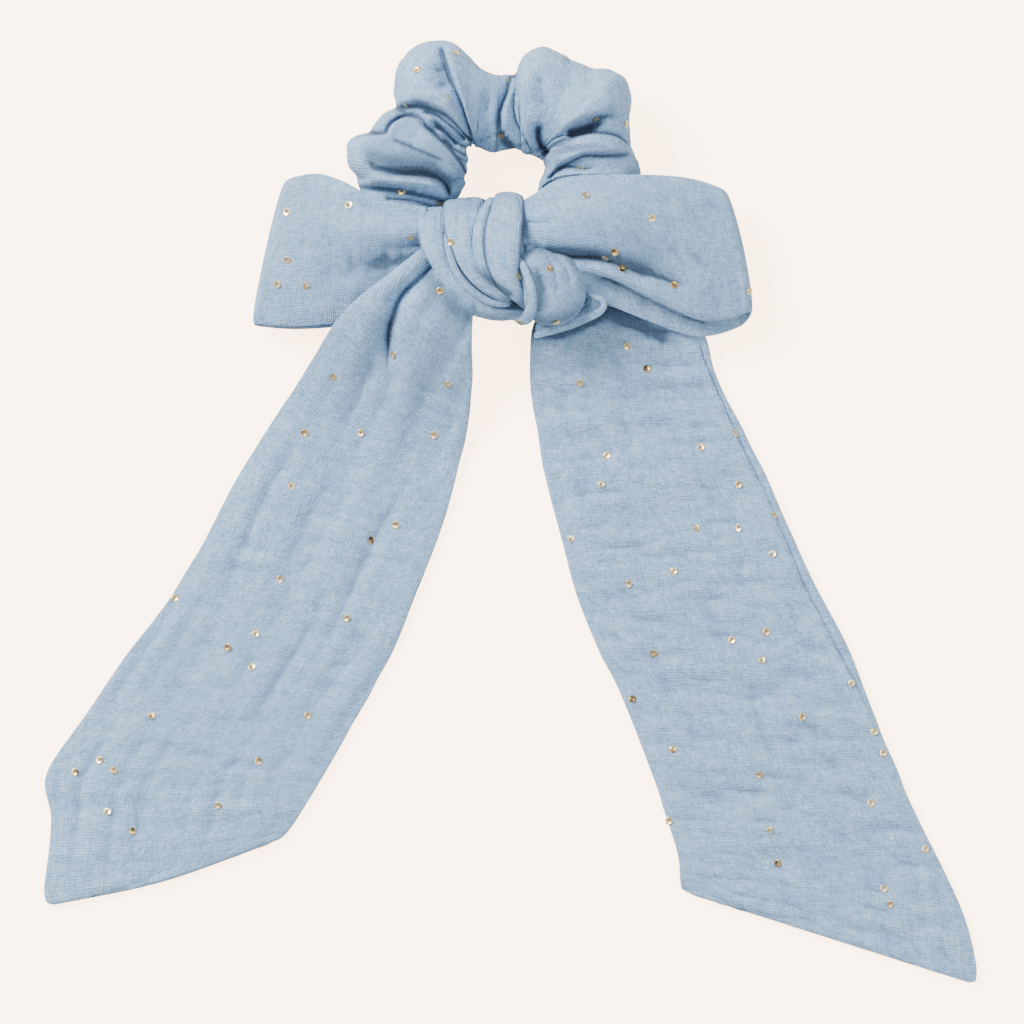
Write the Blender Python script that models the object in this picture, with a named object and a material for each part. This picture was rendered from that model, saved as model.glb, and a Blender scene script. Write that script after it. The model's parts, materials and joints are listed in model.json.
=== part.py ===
"""Hair scrunchie: a gathered gauze ring over flat elastic, with a sash tied round it in a bow.

Lies on z = 0 with its front facing +Z and the ring towards +Y. All lengths in the tables are mm.
"""

import bpy
import numpy as np
from mathutils.bvhtree import BVHTree

MM = 0.001
TAU = 2.0 * np.pi

# Gathered ring, clockwise from its closing seam at the top:
# (x, y, reach outwards, reach towards the hole, height of the middle, half height).
RING_STATIONS = [
    (-3.0, 123.2, 8.4, 13.6, 11.5, 11.5),
    (4.0, 124.0, 13.0, 14.5, 13.0, 14.0),
    (11.8, 122.6, 15.4, 15.3, 13.6, 14.6),
    (18.4, 119.6, 17.0, 15.5, 13.8, 14.8),
    (22.8, 114.6, 17.0, 15.8, 13.4, 14.4),
    (24.6, 108.0, 14.0, 14.8, 12.0, 12.8),
    (25.4, 101.5, 13.8, 14.4, 10.2, 10.6),
    (26.4, 94.0, 12.8, 13.2, 9.3, 9.6),
    (27.2, 86.5, 11.2, 11.2, 9.4, 9.2),
    (24.8, 78.6, 9.2, 9.2, 10.0, 8.5),
    (19.8, 73.6, 8.2, 8.2, 13.0, 8.0),
    (14.0, 72.5, 8.0, 8.0, 14.2, 8.0),
    (6.0, 72.5, 8.0, 8.0, 14.2, 8.0),
    (-2.0, 72.5, 8.0, 8.0, 14.2, 8.0),
    (-10.0, 72.5, 8.0, 8.0, 14.2, 8.0),
    (-18.0, 72.5, 8.0, 8.0, 14.2, 8.0),
    (-24.0, 74.0, 8.2, 8.2, 12.4, 8.0),
    (-29.6, 79.4, 9.4, 9.4, 9.6, 8.6),
    (-32.0, 87.0, 11.4, 11.4, 9.2, 9.3),
    (-32.0, 95.0, 14.2, 13.8, 9.4, 9.8),
    (-31.0, 102.5, 16.6, 16.4, 12.2, 13.0),
    (-28.6, 109.5, 15.4, 15.0, 12.6, 13.4),
    (-25.0, 115.8, 12.8, 14.2, 12.2, 12.8),
    (-20.4, 121.2, 17.0, 15.4, 13.6, 14.8),
    (-14.6, 124.0, 17.4, 15.6, 13.6, 14.6),
    (-8.6, 124.2, 12.4, 14.2, 12.6, 13.2),
]
RING_LENGTH = 185.0
RING_STEPS = 62
RING_SIDES = 14
CASING_WALL = 2.4
SEAM_SLIT = 0.5

ELASTIC_HEIGHT = 6.0
ELASTIC_THICKNESS = 1.0
ELASTIC_OVERLAP = 12.0
ELASTIC_JOIN_AT = 0.93
ELASTIC_SPREAD = 1.7

THREAD_DIAMETER = 0.4
THREAD_CLEARANCE = 0.35
STITCH_SWING = 0.35

# The knot closes round the straight, squeezed part of the ring.
KNOT_AXIS_Y = 72.5
KNOT_AXIS_Z = 14.2
KNOT_BORE = 8.5
KNOT_LEFT = -17.0
KNOT_RIGHT = 11.5
KNOT_MIDDLE_Y = 74.6
KNOT_HALF_Y = 16.8
KNOT_MIDDLE_Z = 14.6
KNOT_HALF_Z = 14.6

# Pleated band over the front of the knot: (left x, right x, y, height of the middle).
BAND_STATIONS = [
    (-19.0, 3.4, 94.6, 20.5),
    (-25.5, 3.6, 91.0, 26.2),
    (-27.2, 3.6, 85.0, 30.0),
    (-24.2, 3.2, 77.0, 31.8),
    (-19.2, 3.0, 70.0, 31.5),
    (-12.0, 2.8, 63.0, 28.8),
    (-7.0, 2.6, 59.4, 24.9),
]
BAND_THICKNESS = 3.4
BAND_PLEATS = 4
BAND_PLEAT_DEPTH = 0.45

TUCK_CENTRE = (13.2, 67.0)
TUCK_RADIUS = 9.1
TUCK_BOTTOM = 29.9
TUCK_TOP = 34.6

# Bow loops from the knot outwards: (upper edge x, y, z), (lower edge x, y, z), half gap between
# the front and back layers. The heights are those of the middle of the loop.
LEFT_LOOP = [
    ((-28.9, 90.2, 25.4), (-28.0, 69.8, 22.0), 0.35),
    ((-39.5, 93.3, 24.6), (-38.0, 62.5, 18.0), 0.8),
    ((-47.5, 98.3, 22.4), (-47.0, 59.0, 13.0), 1.5),
    ((-56.0, 100.8, 17.0), (-58.0, 57.2, 10.0), 2.5),
    ((-62.0, 98.6, 13.0), (-71.0, 58.2, 8.2), 3.2),
]
RIGHT_LOOP = [
    ((7.4, 93.6, 25.6), (27.4, 65.8, 25.0), 0.35),
    ((17.0, 99.2, 25.4), (32.5, 62.4, 22.6), 0.8),
    ((32.0, 100.2, 25.6), (42.0, 58.4, 17.2), 2.0),
    ((47.0, 100.4, 19.0), (53.0, 54.8, 11.6), 3.2),
    ((59.0, 97.6, 13.6), (67.6, 57.6, 9.8), 3.6),
]
LOOP_LAYER = 2.2

# Tails from the knot to their slanted ends: (left x, y, bottom z), (right x, y, bottom z).
LEFT_TAIL = [
    ((-26.6, 76.2, 26.6), (-12.8, 60.2, 26.4)),
    ((-34.6, 70.6, 26.0), (-12.0, 52.0, 18.0)),
    ((-43.2, 65.0, 23.8), (-11.9, 44.5, 9.5)),
    ((-51.2, 57.0, 18.4), (-12.2, 37.0, 3.4)),
    ((-58.4, 46.5, 8.0), (-13.4, 28.0, 0.6)),
    ((-66.0, 34.0, 0.8), (-15.4, 17.5, 0.0)),
    ((-74.0, 22.0, 0.0), (-19.0, 3.0, 0.0)),
    ((-82.0, 9.0, 0.0), (-23.0, -8.5, 0.0)),
    ((-91.0, -8.0, 0.0), (-28.4, -23.0, 0.0)),
    ((-101.0, -25.0, 0.0), (-35.5, -40.5, 0.0)),
    ((-114.0, -42.0, 0.0), (-44.0, -56.0, 0.0)),
    ((-125.0, -58.0, 0.0), (-52.0, -70.0, 0.0)),
    ((-137.6, -78.0, 0.0), (-60.5, -85.0, 0.0)),
    ((-137.4, -94.0, 0.0), (-66.0, -94.0, 0.0)),
    ((-139.4, -117.0, 0.0), (-69.4, -98.2, 0.0)),
]
RIGHT_TAIL = [
    ((6.1, 51.2, 1.2), (58.0, 51.0, 1.2)),
    ((6.3, 44.0, 0.4), (60.4, 44.0, 0.4)),
    ((6.8, 36.0, 0.0), (63.6, 36.5, 0.0)),
    ((9.0, 22.0, 0.0), (69.6, 25.0, 0.0)),
    ((12.0, 7.0, 0.0), (76.0, 12.0, 0.0)),
    ((16.0, -8.0, 0.0), (83.0, -4.0, 0.0)),
    ((20.6, -24.0, 0.0), (91.0, -21.0, 0.0)),
    ((27.4, -41.0, 0.0), (100.0, -38.5, 0.0)),
    ((33.6, -55.0, 0.0), (107.4, -57.0, 0.0)),
    ((40.5, -72.0, 0.0), (114.6, -74.5, 0.0)),
    ((47.0, -90.0, 0.0), (122.4, -92.5, 0.0)),
    ((50.8, -103.0, 0.0), (130.0, -108.0, 0.0)),
    ((51.2, -110.5, 0.0), (136.4, -123.0, 0.0)),
    ((53.0, -113.2, 0.0), (140.6, -141.0, 0.0)),
]
TAIL_ROOT = [
    ((17.0, 63.6, 2.0), (33.0, 63.2, 2.0)),
    ((14.6, 60.0, 1.6), (40.0, 59.4, 1.6)),
    ((8.6, 55.8, 1.3), (50.0, 55.6, 1.3)),
    ((6.3, 52.0, 1.2), (57.4, 51.8, 1.2)),
]
TAIL_THICKNESS = 2.4
TAIL_ROOT_THICKNESS = 3.0

# Hand-closed turning gap along the inner edge of the left tail, by row of its table.
CLOSING_START = 8.1
CLOSING_END = 9.9
CLOSING_STITCHES = 9

SEQUIN_RADIUS = 1.25
SEQUIN_HOLE = 0.35
SEQUIN_THICKNESS = 0.16
SEQUIN_CUP = 0.22
SEQUIN_SIDES = 8
SEQUIN_LIFT = 0.42

# Sequin centres (x, y) on each carrying piece.
SEQUINS = {
    "casing": [
        (-16.0, 136.0), (-27.4, 131.3), (-18.4, 124.9), (-30.9, 119.4), (2.0, 127.0),
        (17.5, 129.0), (24.5, 109.0), (-32.2, 104.0),
    ],
    "sash_knot_band": [(-17.4, 81.6), (-6.5, 68.0)],
    "sash_knot_tuck": [(12.0, 71.0)],
    "sash_loop_left": [(-48.0, 92.7), (-62.0, 90.6), (-35.0, 83.1), (-64.0, 76.2), (-60.8, 68.6)],
    "sash_loop_right": [(23.1, 92.5), (42.9, 88.8), (36.0, 77.5), (38.6, 70.3), (52.5, 68.7)],
    "sash_tail_left": [
        (-22.7, 65.5), (-34.6, 45.5), (-52.8, 36.0), (-22.5, 23.7), (-44.4, 24.3), (-33.9, -3.3),
        (-68.7, -19.5), (-76.0, -36.0), (-60.4, -60.4), (-87.3, -87.4), (-118.6, -76.8),
        (-113.0, -95.1),
    ],
    "sash_tail_right": [
        (41.4, 43.5), (21.3, 39.3), (57.6, 20.0), (27.6, 9.0), (68.9, -4.2), (49.4, -17.1),
        (66.9, -37.8), (103.2, -65.7), (49.1, -70.5), (75.0, -78.3), (80.7, -104.7),
        (112.5, -112.2),
    ],
}

GAUZE = ((0.41, 0.53, 0.66, 1.0), 0.95, 0.0)
GAUZE_DEEP = ((0.36, 0.48, 0.62, 1.0), 0.95, 0.0)
RUBBER_WHITE = ((0.82, 0.82, 0.79, 1.0), 0.8, 0.0)
THREAD_BLUE = ((0.48, 0.6, 0.72, 1.0), 0.7, 0.0)
THREAD_WHITE = ((0.85, 0.85, 0.82, 1.0), 0.7, 0.0)
GOLD = ((0.83, 0.62, 0.30, 1.0), 0.28, 1.0)

meshes = {}


def clear_scene():
    for thing in list(bpy.data.objects):
        bpy.data.objects.remove(thing, do_unlink=True)


def add_object(name, points, faces, look, origin=(0.0, 0.0, 0.0)):
    """Add one closed body given in mm; its origin (mm) sits on its joint axis if it has one."""
    origin = np.array(origin, float)
    points = np.array(points, float)
    mesh = bpy.data.meshes.new(name)
    mesh.from_pydata(((points - origin) * MM).tolist(), [], faces)
    mesh.validate()
    mesh.update()
    thing = bpy.data.objects.new(name, mesh)
    thing.location = (origin * MM).tolist()
    bpy.context.scene.collection.objects.link(thing)
    colour, roughness, metallic = look
    material = bpy.data.materials.new(name)
    material.use_nodes = True
    shader = material.node_tree.nodes["Principled BSDF"]
    shader.inputs["Base Color"].default_value = colour
    shader.inputs["Roughness"].default_value = roughness
    shader.inputs["Metallic"].default_value = metallic
    mesh.materials.append(material)
    mesh.shade_smooth()
    meshes[name] = (points, faces)
    return thing


def unit(vector):
    vector = np.array(vector, float)
    return vector / np.linalg.norm(vector)


def spline(table, at, closed=False):
    """Catmull-Rom curve through the rows of a table, read at the row number `at`."""
    table = np.array(table, float)
    count = len(table)
    first = int(np.floor(at))
    if not closed:
        first = min(max(first, 0), count - 2)
    part = at - first

    def row(number):
        if closed:
            return table[number % count]
        if number < 0:
            return 2.0 * table[0] - table[1]
        if number >= count:
            return 2.0 * table[-1] - table[-2]
        return table[number]

    a, b, c, d = (row(first + step) for step in (-1, 0, 1, 2))
    return 0.5 * (
        2.0 * b
        + (c - a) * part
        + (2.0 * a - 5.0 * b + 4.0 * c - d) * part**2
        + (3.0 * b - a - 3.0 * c + d) * part**3
    )


def skin(rings, closed=False):
    """Faces of a body made of equal rings of points; the ends are capped unless it closes."""
    count = len(rings)
    sides = len(rings[0])
    points = [point for ring in rings for point in ring]
    faces = []
    for step in range(count if closed else count - 1):
        here = step * sides
        there = ((step + 1) % count) * sides
        for side in range(sides):
            after = (side + 1) % sides
            faces.append((here + side, here + after, there + after, there + side))
    if not closed:
        for ring, first in ((rings[0], 0), (rings[-1], (count - 1) * sides)):
            middle = len(points)
            points.append(np.mean(ring, axis=0))
            for side in range(sides):
                edge = (first + side, first + (side + 1) % sides)
                if first == 0:
                    edge = edge[::-1]
                faces.append((edge[0], edge[1], middle))
    return points, outward(points, faces)


def outward(points, faces):
    """Turn every face round if the body is inside out."""
    points = np.array(points, float)
    volume = 0.0
    for face in faces:
        for second, third in zip(face[1:-1], face[2:]):
            volume += np.dot(points[face[0]], np.cross(points[second], points[third]))
    return faces if volume > 0.0 else [tuple(reversed(face)) for face in faces]


def ring_frame(fraction):
    """Middle, outward direction, direction along, both reaches and half height of the ring."""
    at = fraction * len(RING_STATIONS)
    x, y, outer, inner, middle, height = spline(RING_STATIONS, at, closed=True)
    ahead = spline(RING_STATIONS, at + 0.02, closed=True)
    behind = spline(RING_STATIONS, at - 0.02, closed=True)
    along = unit((ahead[0] - behind[0], ahead[1] - behind[1], 0.0))
    outwards = np.array((-along[1], along[0], 0.0))
    return np.array((x, y, middle)), outwards, (outer, inner), height


def ring_point(fraction, turn, inset=0.0):
    """Point on the casing's oval section at one turn angle, inset from its outside."""
    middle, outwards, reaches, height = ring_frame(fraction)
    reach = reaches[0] if np.cos(turn) > 0.0 else reaches[1]
    point = middle + outwards * (reach - inset) * np.cos(turn)
    point[2] = middle[2] + (height - inset) * np.sin(turn)
    return point


def casing_section(fraction, inset, floor):
    """One oval section of the casing, flattened where it rests on z = floor."""
    section = []
    for side in range(RING_SIDES):
        point = ring_point(fraction, TAU * side / RING_SIDES, inset)
        point[2] = max(point[2], floor)
        section.append(point)
    return section


def build_casing():
    """Hollow gathered tube, open at the whip-stitched seam where its two ends meet."""
    slit = SEAM_SLIT / 2.0 / RING_LENGTH
    fractions = np.linspace(slit, 1.0 - slit, RING_STEPS)
    outer = [casing_section(at, 0.0, 0.0) for at in fractions]
    inner = [casing_section(at, CASING_WALL, CASING_WALL) for at in fractions[::-1]]
    add_object("casing", *skin(outer + inner, closed=True), GAUZE)


def build_elastic():
    """Flat elastic standing on edge in the casing, its two ends lapped over each other."""
    lap = ELASTIC_OVERLAP / RING_LENGTH
    count = 72
    rings = []
    for step in range(count + 1):
        along_band = step / count
        fraction = ELASTIC_JOIN_AT - lap / 2.0 + along_band * (1.0 + lap)
        middle, outwards, _, _ = ring_frame(fraction)
        shift = (np.clip(along_band / lap, 0.0, 1.0) - 1.0) * 0.5
        shift += np.clip((along_band - 1.0) / lap + 1.0, 0.0, 1.0) * 0.5
        middle = middle + outwards * shift * ELASTIC_SPREAD * 2.0
        half = ELASTIC_THICKNESS / 2.0
        tall = ELASTIC_HEIGHT / 2.0
        rings.append([
            middle + outwards * across * half + np.array((0.0, 0.0, up * tall))
            for across, up in ((1, -1), (1, 1), (-1, 1), (-1, -1))
        ])
    add_object("elastic_band", *skin(rings), RUBBER_WHITE)


def thread_body(path, sides=6):
    """Round thread along an open path of points."""
    path = np.array(path, float)
    rings = []
    reference = np.array((0.0, 0.0, 1.0))
    for step in range(len(path)):
        ahead = path[min(step + 1, len(path) - 1)]
        behind = path[max(step - 1, 0)]
        along = unit(ahead - behind)
        reference = unit(reference - along * np.dot(reference, along))
        sideways = np.cross(along, reference)
        rings.append([
            path[step]
            + THREAD_DIAMETER / 2.0
            * (np.cos(TAU * side / sides) * reference + np.sin(TAU * side / sides) * sideways)
            for side in range(sides)
        ])
    return skin(rings)


def build_elastic_join_thread():
    """Overcast stitching wound round both lapped ends of the elastic."""
    turns = 4
    per_turn = 16
    length = 6.0
    tall = ELASTIC_HEIGHT / 2.0 + THREAD_CLEARANCE + THREAD_DIAMETER
    across = ELASTIC_SPREAD + ELASTIC_THICKNESS / 2.0 + THREAD_CLEARANCE + THREAD_DIAMETER
    path = []
    for step in range(turns * per_turn + 1):
        part = step / (turns * per_turn) - 0.5
        middle, outwards, _, _ = ring_frame(ELASTIC_JOIN_AT + part * length / RING_LENGTH)
        turn = TAU * step / per_turn
        corner = max(abs(np.cos(turn)), abs(np.sin(turn)))
        path.append(
            middle
            + outwards * across * np.cos(turn) / corner
            + np.array((0.0, 0.0, tall * np.sin(turn) / corner))
        )
    add_object("elastic_join_thread", *thread_body(path), THREAD_WHITE)


def build_casing_closing_thread():
    """Whip stitches zigzagging over the seam, round the outside of the casing."""
    stitches = 18
    per_stitch = 4
    reach = 1.5
    lift = THREAD_CLEARANCE + THREAD_DIAMETER
    path = []
    total = stitches * per_stitch
    for step in range(total + 1):
        turn = -0.2 * np.pi + 1.4 * np.pi * step / total
        side = np.sin(TAU * step / per_stitch)
        path.append(ring_point(side * reach / RING_LENGTH, turn, -lift))
    add_object("casing_closing_thread", *thread_body(path), THREAD_BLUE)


def build_knot_wrap():
    """Hitch of the sash round the squeezed ring: a bored body coaxial with the ring there."""
    sides = 28
    steps = 6
    inner = []
    outer = []
    for step in range(steps + 1):
        x = KNOT_LEFT + (KNOT_RIGHT - KNOT_LEFT) * step / steps
        edge = abs(2.0 * step / steps - 1.0)
        swell = 1.0 - 0.09 * edge**3
        for shells, half_y, half_z, middle in (
            (inner, KNOT_BORE, KNOT_BORE, (KNOT_AXIS_Y, KNOT_AXIS_Z)),
            (outer, KNOT_HALF_Y * swell, KNOT_HALF_Z * swell, (KNOT_MIDDLE_Y, KNOT_MIDDLE_Z)),
        ):
            shells.append([
                np.array((
                    x,
                    middle[0] + half_y * np.cos(TAU * side / sides),
                    middle[1] + half_z * np.sin(TAU * side / sides),
                ))
                for side in range(sides)
            ])
    add_object(
        "sash_knot_wrap", *skin(outer + inner[::-1], closed=True), GAUZE_DEEP,
        origin=(0.0, KNOT_AXIS_Y, KNOT_AXIS_Z),
    )


def build_knot_band():
    """Pleated turn of the sash that crosses the front of the knot from top to bottom."""
    steps = 14
    across = 17
    rings = []
    for step in range(steps + 1):
        at = (len(BAND_STATIONS) - 1) * step / steps
        left, right, y, middle = spline(BAND_STATIONS, at)
        ahead = spline(BAND_STATIONS, at + 0.02)
        behind = spline(BAND_STATIONS, at - 0.02)
        slope = unit((0.0, ahead[2] - behind[2], ahead[3] - behind[3]))
        normal = np.array((0.0, -slope[2], slope[1]))
        if normal[2] < 0.0:
            normal = -normal
        top = []
        bottom = []
        for column in range(across):
            part = column / (across - 1)
            edge = (1.0 - abs(2.0 * part - 1.0) ** 6) ** 0.5
            pleat = BAND_PLEAT_DEPTH * np.cos(TAU * BAND_PLEATS * part)
            centre = np.array((left + (right - left) * part, y, middle))
            half = max(BAND_THICKNESS / 2.0 * edge, 0.25)
            top.append(centre + normal * max(half - BAND_PLEAT_DEPTH * edge + pleat * edge, 0.2))
            if 0 < column < across - 1:
                bottom.append(centre - normal * half)
        rings.append(top + bottom[::-1])
    add_object(
        "sash_knot_band", *skin(rings), GAUZE, origin=(0.0, KNOT_AXIS_Y, KNOT_AXIS_Z)
    )


def build_knot_tuck():
    """Round turn at the right of the knot, where the sash is tucked through itself."""
    sides = 24
    profile = [
        (0.55, TUCK_BOTTOM), (0.93, TUCK_BOTTOM + 0.3), (1.0, TUCK_BOTTOM + 1.5),
        (0.93, TUCK_TOP - 1.8), (0.7, TUCK_TOP - 0.6), (0.35, TUCK_TOP),
    ]
    rings = [
        [
            np.array((
                TUCK_CENTRE[0] + TUCK_RADIUS * share * np.cos(TAU * side / sides),
                TUCK_CENTRE[1] + TUCK_RADIUS * share * np.sin(TAU * side / sides),
                z,
            ))
            for side in range(sides)
        ]
        for share, z in profile
    ]
    add_object("sash_knot_tuck", *skin(rings), GAUZE, origin=(0.0, KNOT_AXIS_Y, KNOT_AXIS_Z))


def strip_ring(middle, half_across, normal, thickness):
    """Section of a flat strip: full thickness in the middle, rounded at both edges."""
    columns = (-1.0, -0.97, -0.9, 0.0, 0.9, 0.97, 1.0)
    shares = (0.3, 0.75, 1.0, 1.0, 1.0, 0.75, 0.3)
    top = [
        middle + half_across * column + normal * thickness / 2.0 * share
        for column, share in zip(columns, shares)
    ]
    bottom = [
        middle + half_across * column - normal * thickness / 2.0 * share
        for column, share in zip(columns, shares)
    ]
    return top + bottom[::-1]


def build_loop(name, stations, origin):
    """Folded band: back layer outwards, round the fold, front layer back to the knot."""
    rows = [upper + lower + (gap,) for upper, lower, gap in stations]
    last = len(rows) - 1
    upper = []
    lower = []
    lifts = []

    def edges(at):
        row = spline(rows, at)
        return row[:3], row[3:6], row[6] + LOOP_LAYER / 2.0

    steps = 9
    end_upper, end_lower, end_lift = edges(last)
    before_upper, before_lower, _ = edges(last - 0.3)
    ahead = unit((end_upper + end_lower) / 2.0 - (before_upper + before_lower) / 2.0)
    for side in (-1.0, 1.0):
        order = range(steps) if side < 0.0 else range(steps - 1, -1, -1)
        for step in order:
            top, bottom, lift = edges(last * step / steps)
            upper.append(top)
            lower.append(bottom)
            lifts.append((lift * side, 0.0))
        if side < 0.0:
            for turn in np.linspace(-0.5 * np.pi, 0.5 * np.pi, 7):
                upper.append(end_upper)
                lower.append(end_lower)
                lifts.append((end_lift * np.sin(turn), end_lift * np.cos(turn)))
    middles = []
    halves = []
    for top, bottom, (lift, out) in zip(upper, lower, lifts):
        half = (bottom - top) / 2.0
        face = unit(np.cross(half, ahead))
        if face[2] < 0.0:
            face = -face
        middles.append((top + bottom) / 2.0 + face * lift + ahead * out)
        halves.append(half)
    rings = []
    for step, (middle, half) in enumerate(zip(middles, halves)):
        along = unit(middles[min(step + 1, len(middles) - 1)] - middles[max(step - 1, 0)])
        normal = unit(np.cross(half, along))
        rings.append(strip_ring(middle, half, normal, LOOP_LAYER))
    add_object(name, *skin(rings), GAUZE, origin=origin)


def build_strip(name, stations, thickness, look, origin):
    """Flat strip of the sash lying with its underside at the given heights."""
    rows = [left + right for left, right in stations]
    steps = 2 * (len(rows) - 1)
    rings = []
    for step in range(steps + 1):
        row = spline(rows, (len(rows) - 1) * step / steps)
        left, right = row[:3].copy(), row[3:].copy()
        left[2] = max(left[2], 0.0) + thickness / 2.0
        right[2] = max(right[2], 0.0) + thickness / 2.0
        rings.append(strip_ring((left + right) / 2.0, (right - left) / 2.0,
                                np.array((0.0, 0.0, 1.0)), thickness))
    add_object(name, *skin(rings), look, origin=origin)


def build_sash_closing_thread(origin):
    """Slip stitches that close the turning gap beside the inner edge of the left tail."""
    edge = [right for _, right in LEFT_TAIL]
    path = []
    total = CLOSING_STITCHES * 4
    for step in range(total + 1):
        at = CLOSING_START + (CLOSING_END - CLOSING_START) * step / total
        along = unit(spline(edge, at + 0.05) - spline(edge, at - 0.05))
        away = np.array((-along[1], along[0], 0.0))
        swing = THREAD_CLEARANCE + THREAD_DIAMETER + STITCH_SWING * (1.0 + np.sin(TAU * step / 4.0))
        path.append(spline(edge, at) + away * swing + np.array((0.0, 0.0, TAIL_THICKNESS / 2.0)))
    add_object("sash_closing_thread", *thread_body(path), THREAD_BLUE, origin=origin)


def build_sequins(origins):
    """Cupped sequins with a centre hole, each resting just clear of the cloth that carries it."""
    number = 0
    for carrier, spots in SEQUINS.items():
        points, faces = meshes[carrier]
        surface = BVHTree.FromPolygons(points.tolist(), faces)
        for x, y in spots:
            number += 1
            hit, normal, _, _ = surface.ray_cast((x, y, 90.0), (0.0, 0.0, -1.0))
            up = unit(normal)
            across = unit(np.cross((0.0, 1.0, 0.0), up))
            over = np.cross(up, across)
            base = np.array(hit) + up * SEQUIN_LIFT
            rings = []
            for radius, height in (
                (SEQUIN_HOLE, 0.0), (SEQUIN_RADIUS, SEQUIN_CUP),
                (SEQUIN_RADIUS, SEQUIN_CUP + SEQUIN_THICKNESS), (SEQUIN_HOLE, SEQUIN_THICKNESS),
            ):
                rings.append([
                    base + up * height + radius
                    * (np.cos(TAU * side / SEQUIN_SIDES) * across
                       + np.sin(TAU * side / SEQUIN_SIDES) * over)
                    for side in range(SEQUIN_SIDES)
                ])
            add_object(
                f"sequin_{number:02d}", *skin(rings, closed=True), GOLD,
                origin=origins.get(carrier, (0.0, 0.0, 0.0)),
            )


clear_scene()
ROLL_ORIGIN = (0.0, KNOT_AXIS_Y, KNOT_AXIS_Z)
LEFT_LOOP_ORIGIN = (-28.4, 80.0, 23.3)
RIGHT_LOOP_ORIGIN = (17.2, 79.6, 28.2)
LEFT_TAIL_ORIGIN = (-19.7, 68.2, 29.2)
RIGHT_TAIL_ORIGIN = (32.0, 51.4, 3.8)
build_casing()
build_elastic()
build_elastic_join_thread()
build_casing_closing_thread()
build_knot_wrap()
build_knot_band()
build_knot_tuck()
build_loop("sash_loop_left", LEFT_LOOP, LEFT_LOOP_ORIGIN)
build_loop("sash_loop_right", RIGHT_LOOP, RIGHT_LOOP_ORIGIN)
build_strip("sash_tail_root_right", TAIL_ROOT, TAIL_ROOT_THICKNESS, GAUZE_DEEP, ROLL_ORIGIN)
build_strip("sash_tail_left", LEFT_TAIL, TAIL_THICKNESS, GAUZE, LEFT_TAIL_ORIGIN)
build_strip("sash_tail_right", RIGHT_TAIL, TAIL_THICKNESS, GAUZE, RIGHT_TAIL_ORIGIN)
build_sash_closing_thread(LEFT_TAIL_ORIGIN)
build_sequins({
    "sash_knot_band": ROLL_ORIGIN,
    "sash_knot_tuck": ROLL_ORIGIN,
    "sash_loop_left": LEFT_LOOP_ORIGIN,
    "sash_loop_right": RIGHT_LOOP_ORIGIN,
    "sash_tail_left": LEFT_TAIL_ORIGIN,
    "sash_tail_right": RIGHT_TAIL_ORIGIN,
})
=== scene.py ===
"""Looks of the gauze scrunchie with its bow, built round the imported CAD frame.

Lengths are in mm, with x to the right, y towards the ring and z up from the table towards the
front.
"""

import json

import bpy
import numpy as np
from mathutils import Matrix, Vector
from mathutils.bvhtree import BVHTree


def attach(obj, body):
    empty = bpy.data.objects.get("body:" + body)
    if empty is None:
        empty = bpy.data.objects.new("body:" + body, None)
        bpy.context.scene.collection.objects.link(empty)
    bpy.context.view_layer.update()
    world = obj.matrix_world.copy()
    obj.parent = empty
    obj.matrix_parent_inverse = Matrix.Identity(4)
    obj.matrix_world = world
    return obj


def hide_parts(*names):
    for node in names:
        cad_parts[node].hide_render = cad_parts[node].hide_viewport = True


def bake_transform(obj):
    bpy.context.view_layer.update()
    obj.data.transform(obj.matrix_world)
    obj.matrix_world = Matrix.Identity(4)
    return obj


MM = 0.001
TAU = 2.0 * np.pi
# Height of the eye that looks down on the table's middle.
EYE = 2000.0

# ---------------------------------------------------------------- small maths

# Large, unrelated factors that turn a cell's place into a number without a pattern.
HASH_COLUMN = 127.1
HASH_ROW = 311.7
HASH_SEED = 74.7
HASH_SPREAD = 43758.5453


def smooth(x):
    """Soft step from 0 to 1."""
    x = np.clip(x, 0.0, 1.0)
    return x * x * (3.0 - 2.0 * x)


def curve(table, share, closed=False):
    """Catmull-Rom curve through the rows of a table, read at shares 0..1 of its length in rows."""
    table = np.array(table, float)
    share = np.asarray(share, float)
    count = len(table)
    at = share * (count if closed else count - 1)
    first = np.floor(at).astype(int)
    if not closed:
        first = np.clip(first, 0, count - 2)
    part = (at - first)[..., None]
    if closed:
        a, b, c, d = (table[(first + step) % count] for step in (-1, 0, 1, 2))
    else:
        padded = np.vstack([2 * table[0] - table[1], table, 2 * table[-1] - table[-2]])
        a, b, c, d = (padded[first + 1 + step] for step in (-1, 0, 1, 2))
    return 0.5 * (
        2 * b + (c - a) * part
        + (2 * a - 5 * b + 4 * c - d) * part**2
        + (3 * b - a - 3 * c + d) * part**3
    )


def column_curve(values, share, closed=False):
    """The same curve through single values."""
    return curve(np.array(values)[:, None], share, closed)[:, 0]


def noise(x, y, seed):
    """Smooth noise in -1..1 whose cells have size one."""
    column, row = np.floor(x), np.floor(y)
    fx, fy = smooth(x - column), smooth(y - row)

    def corner(i, j):
        scatter = np.sin(i * HASH_COLUMN + j * HASH_ROW + seed * HASH_SEED) * HASH_SPREAD
        return 2.0 * (scatter - np.floor(scatter)) - 1.0

    low = corner(column, row) * (1 - fx) + corner(column + 1, row) * fx
    high = corner(column, row + 1) * (1 - fx) + corner(column + 1, row + 1) * fx
    return low * (1 - fy) + high * fy


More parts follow.
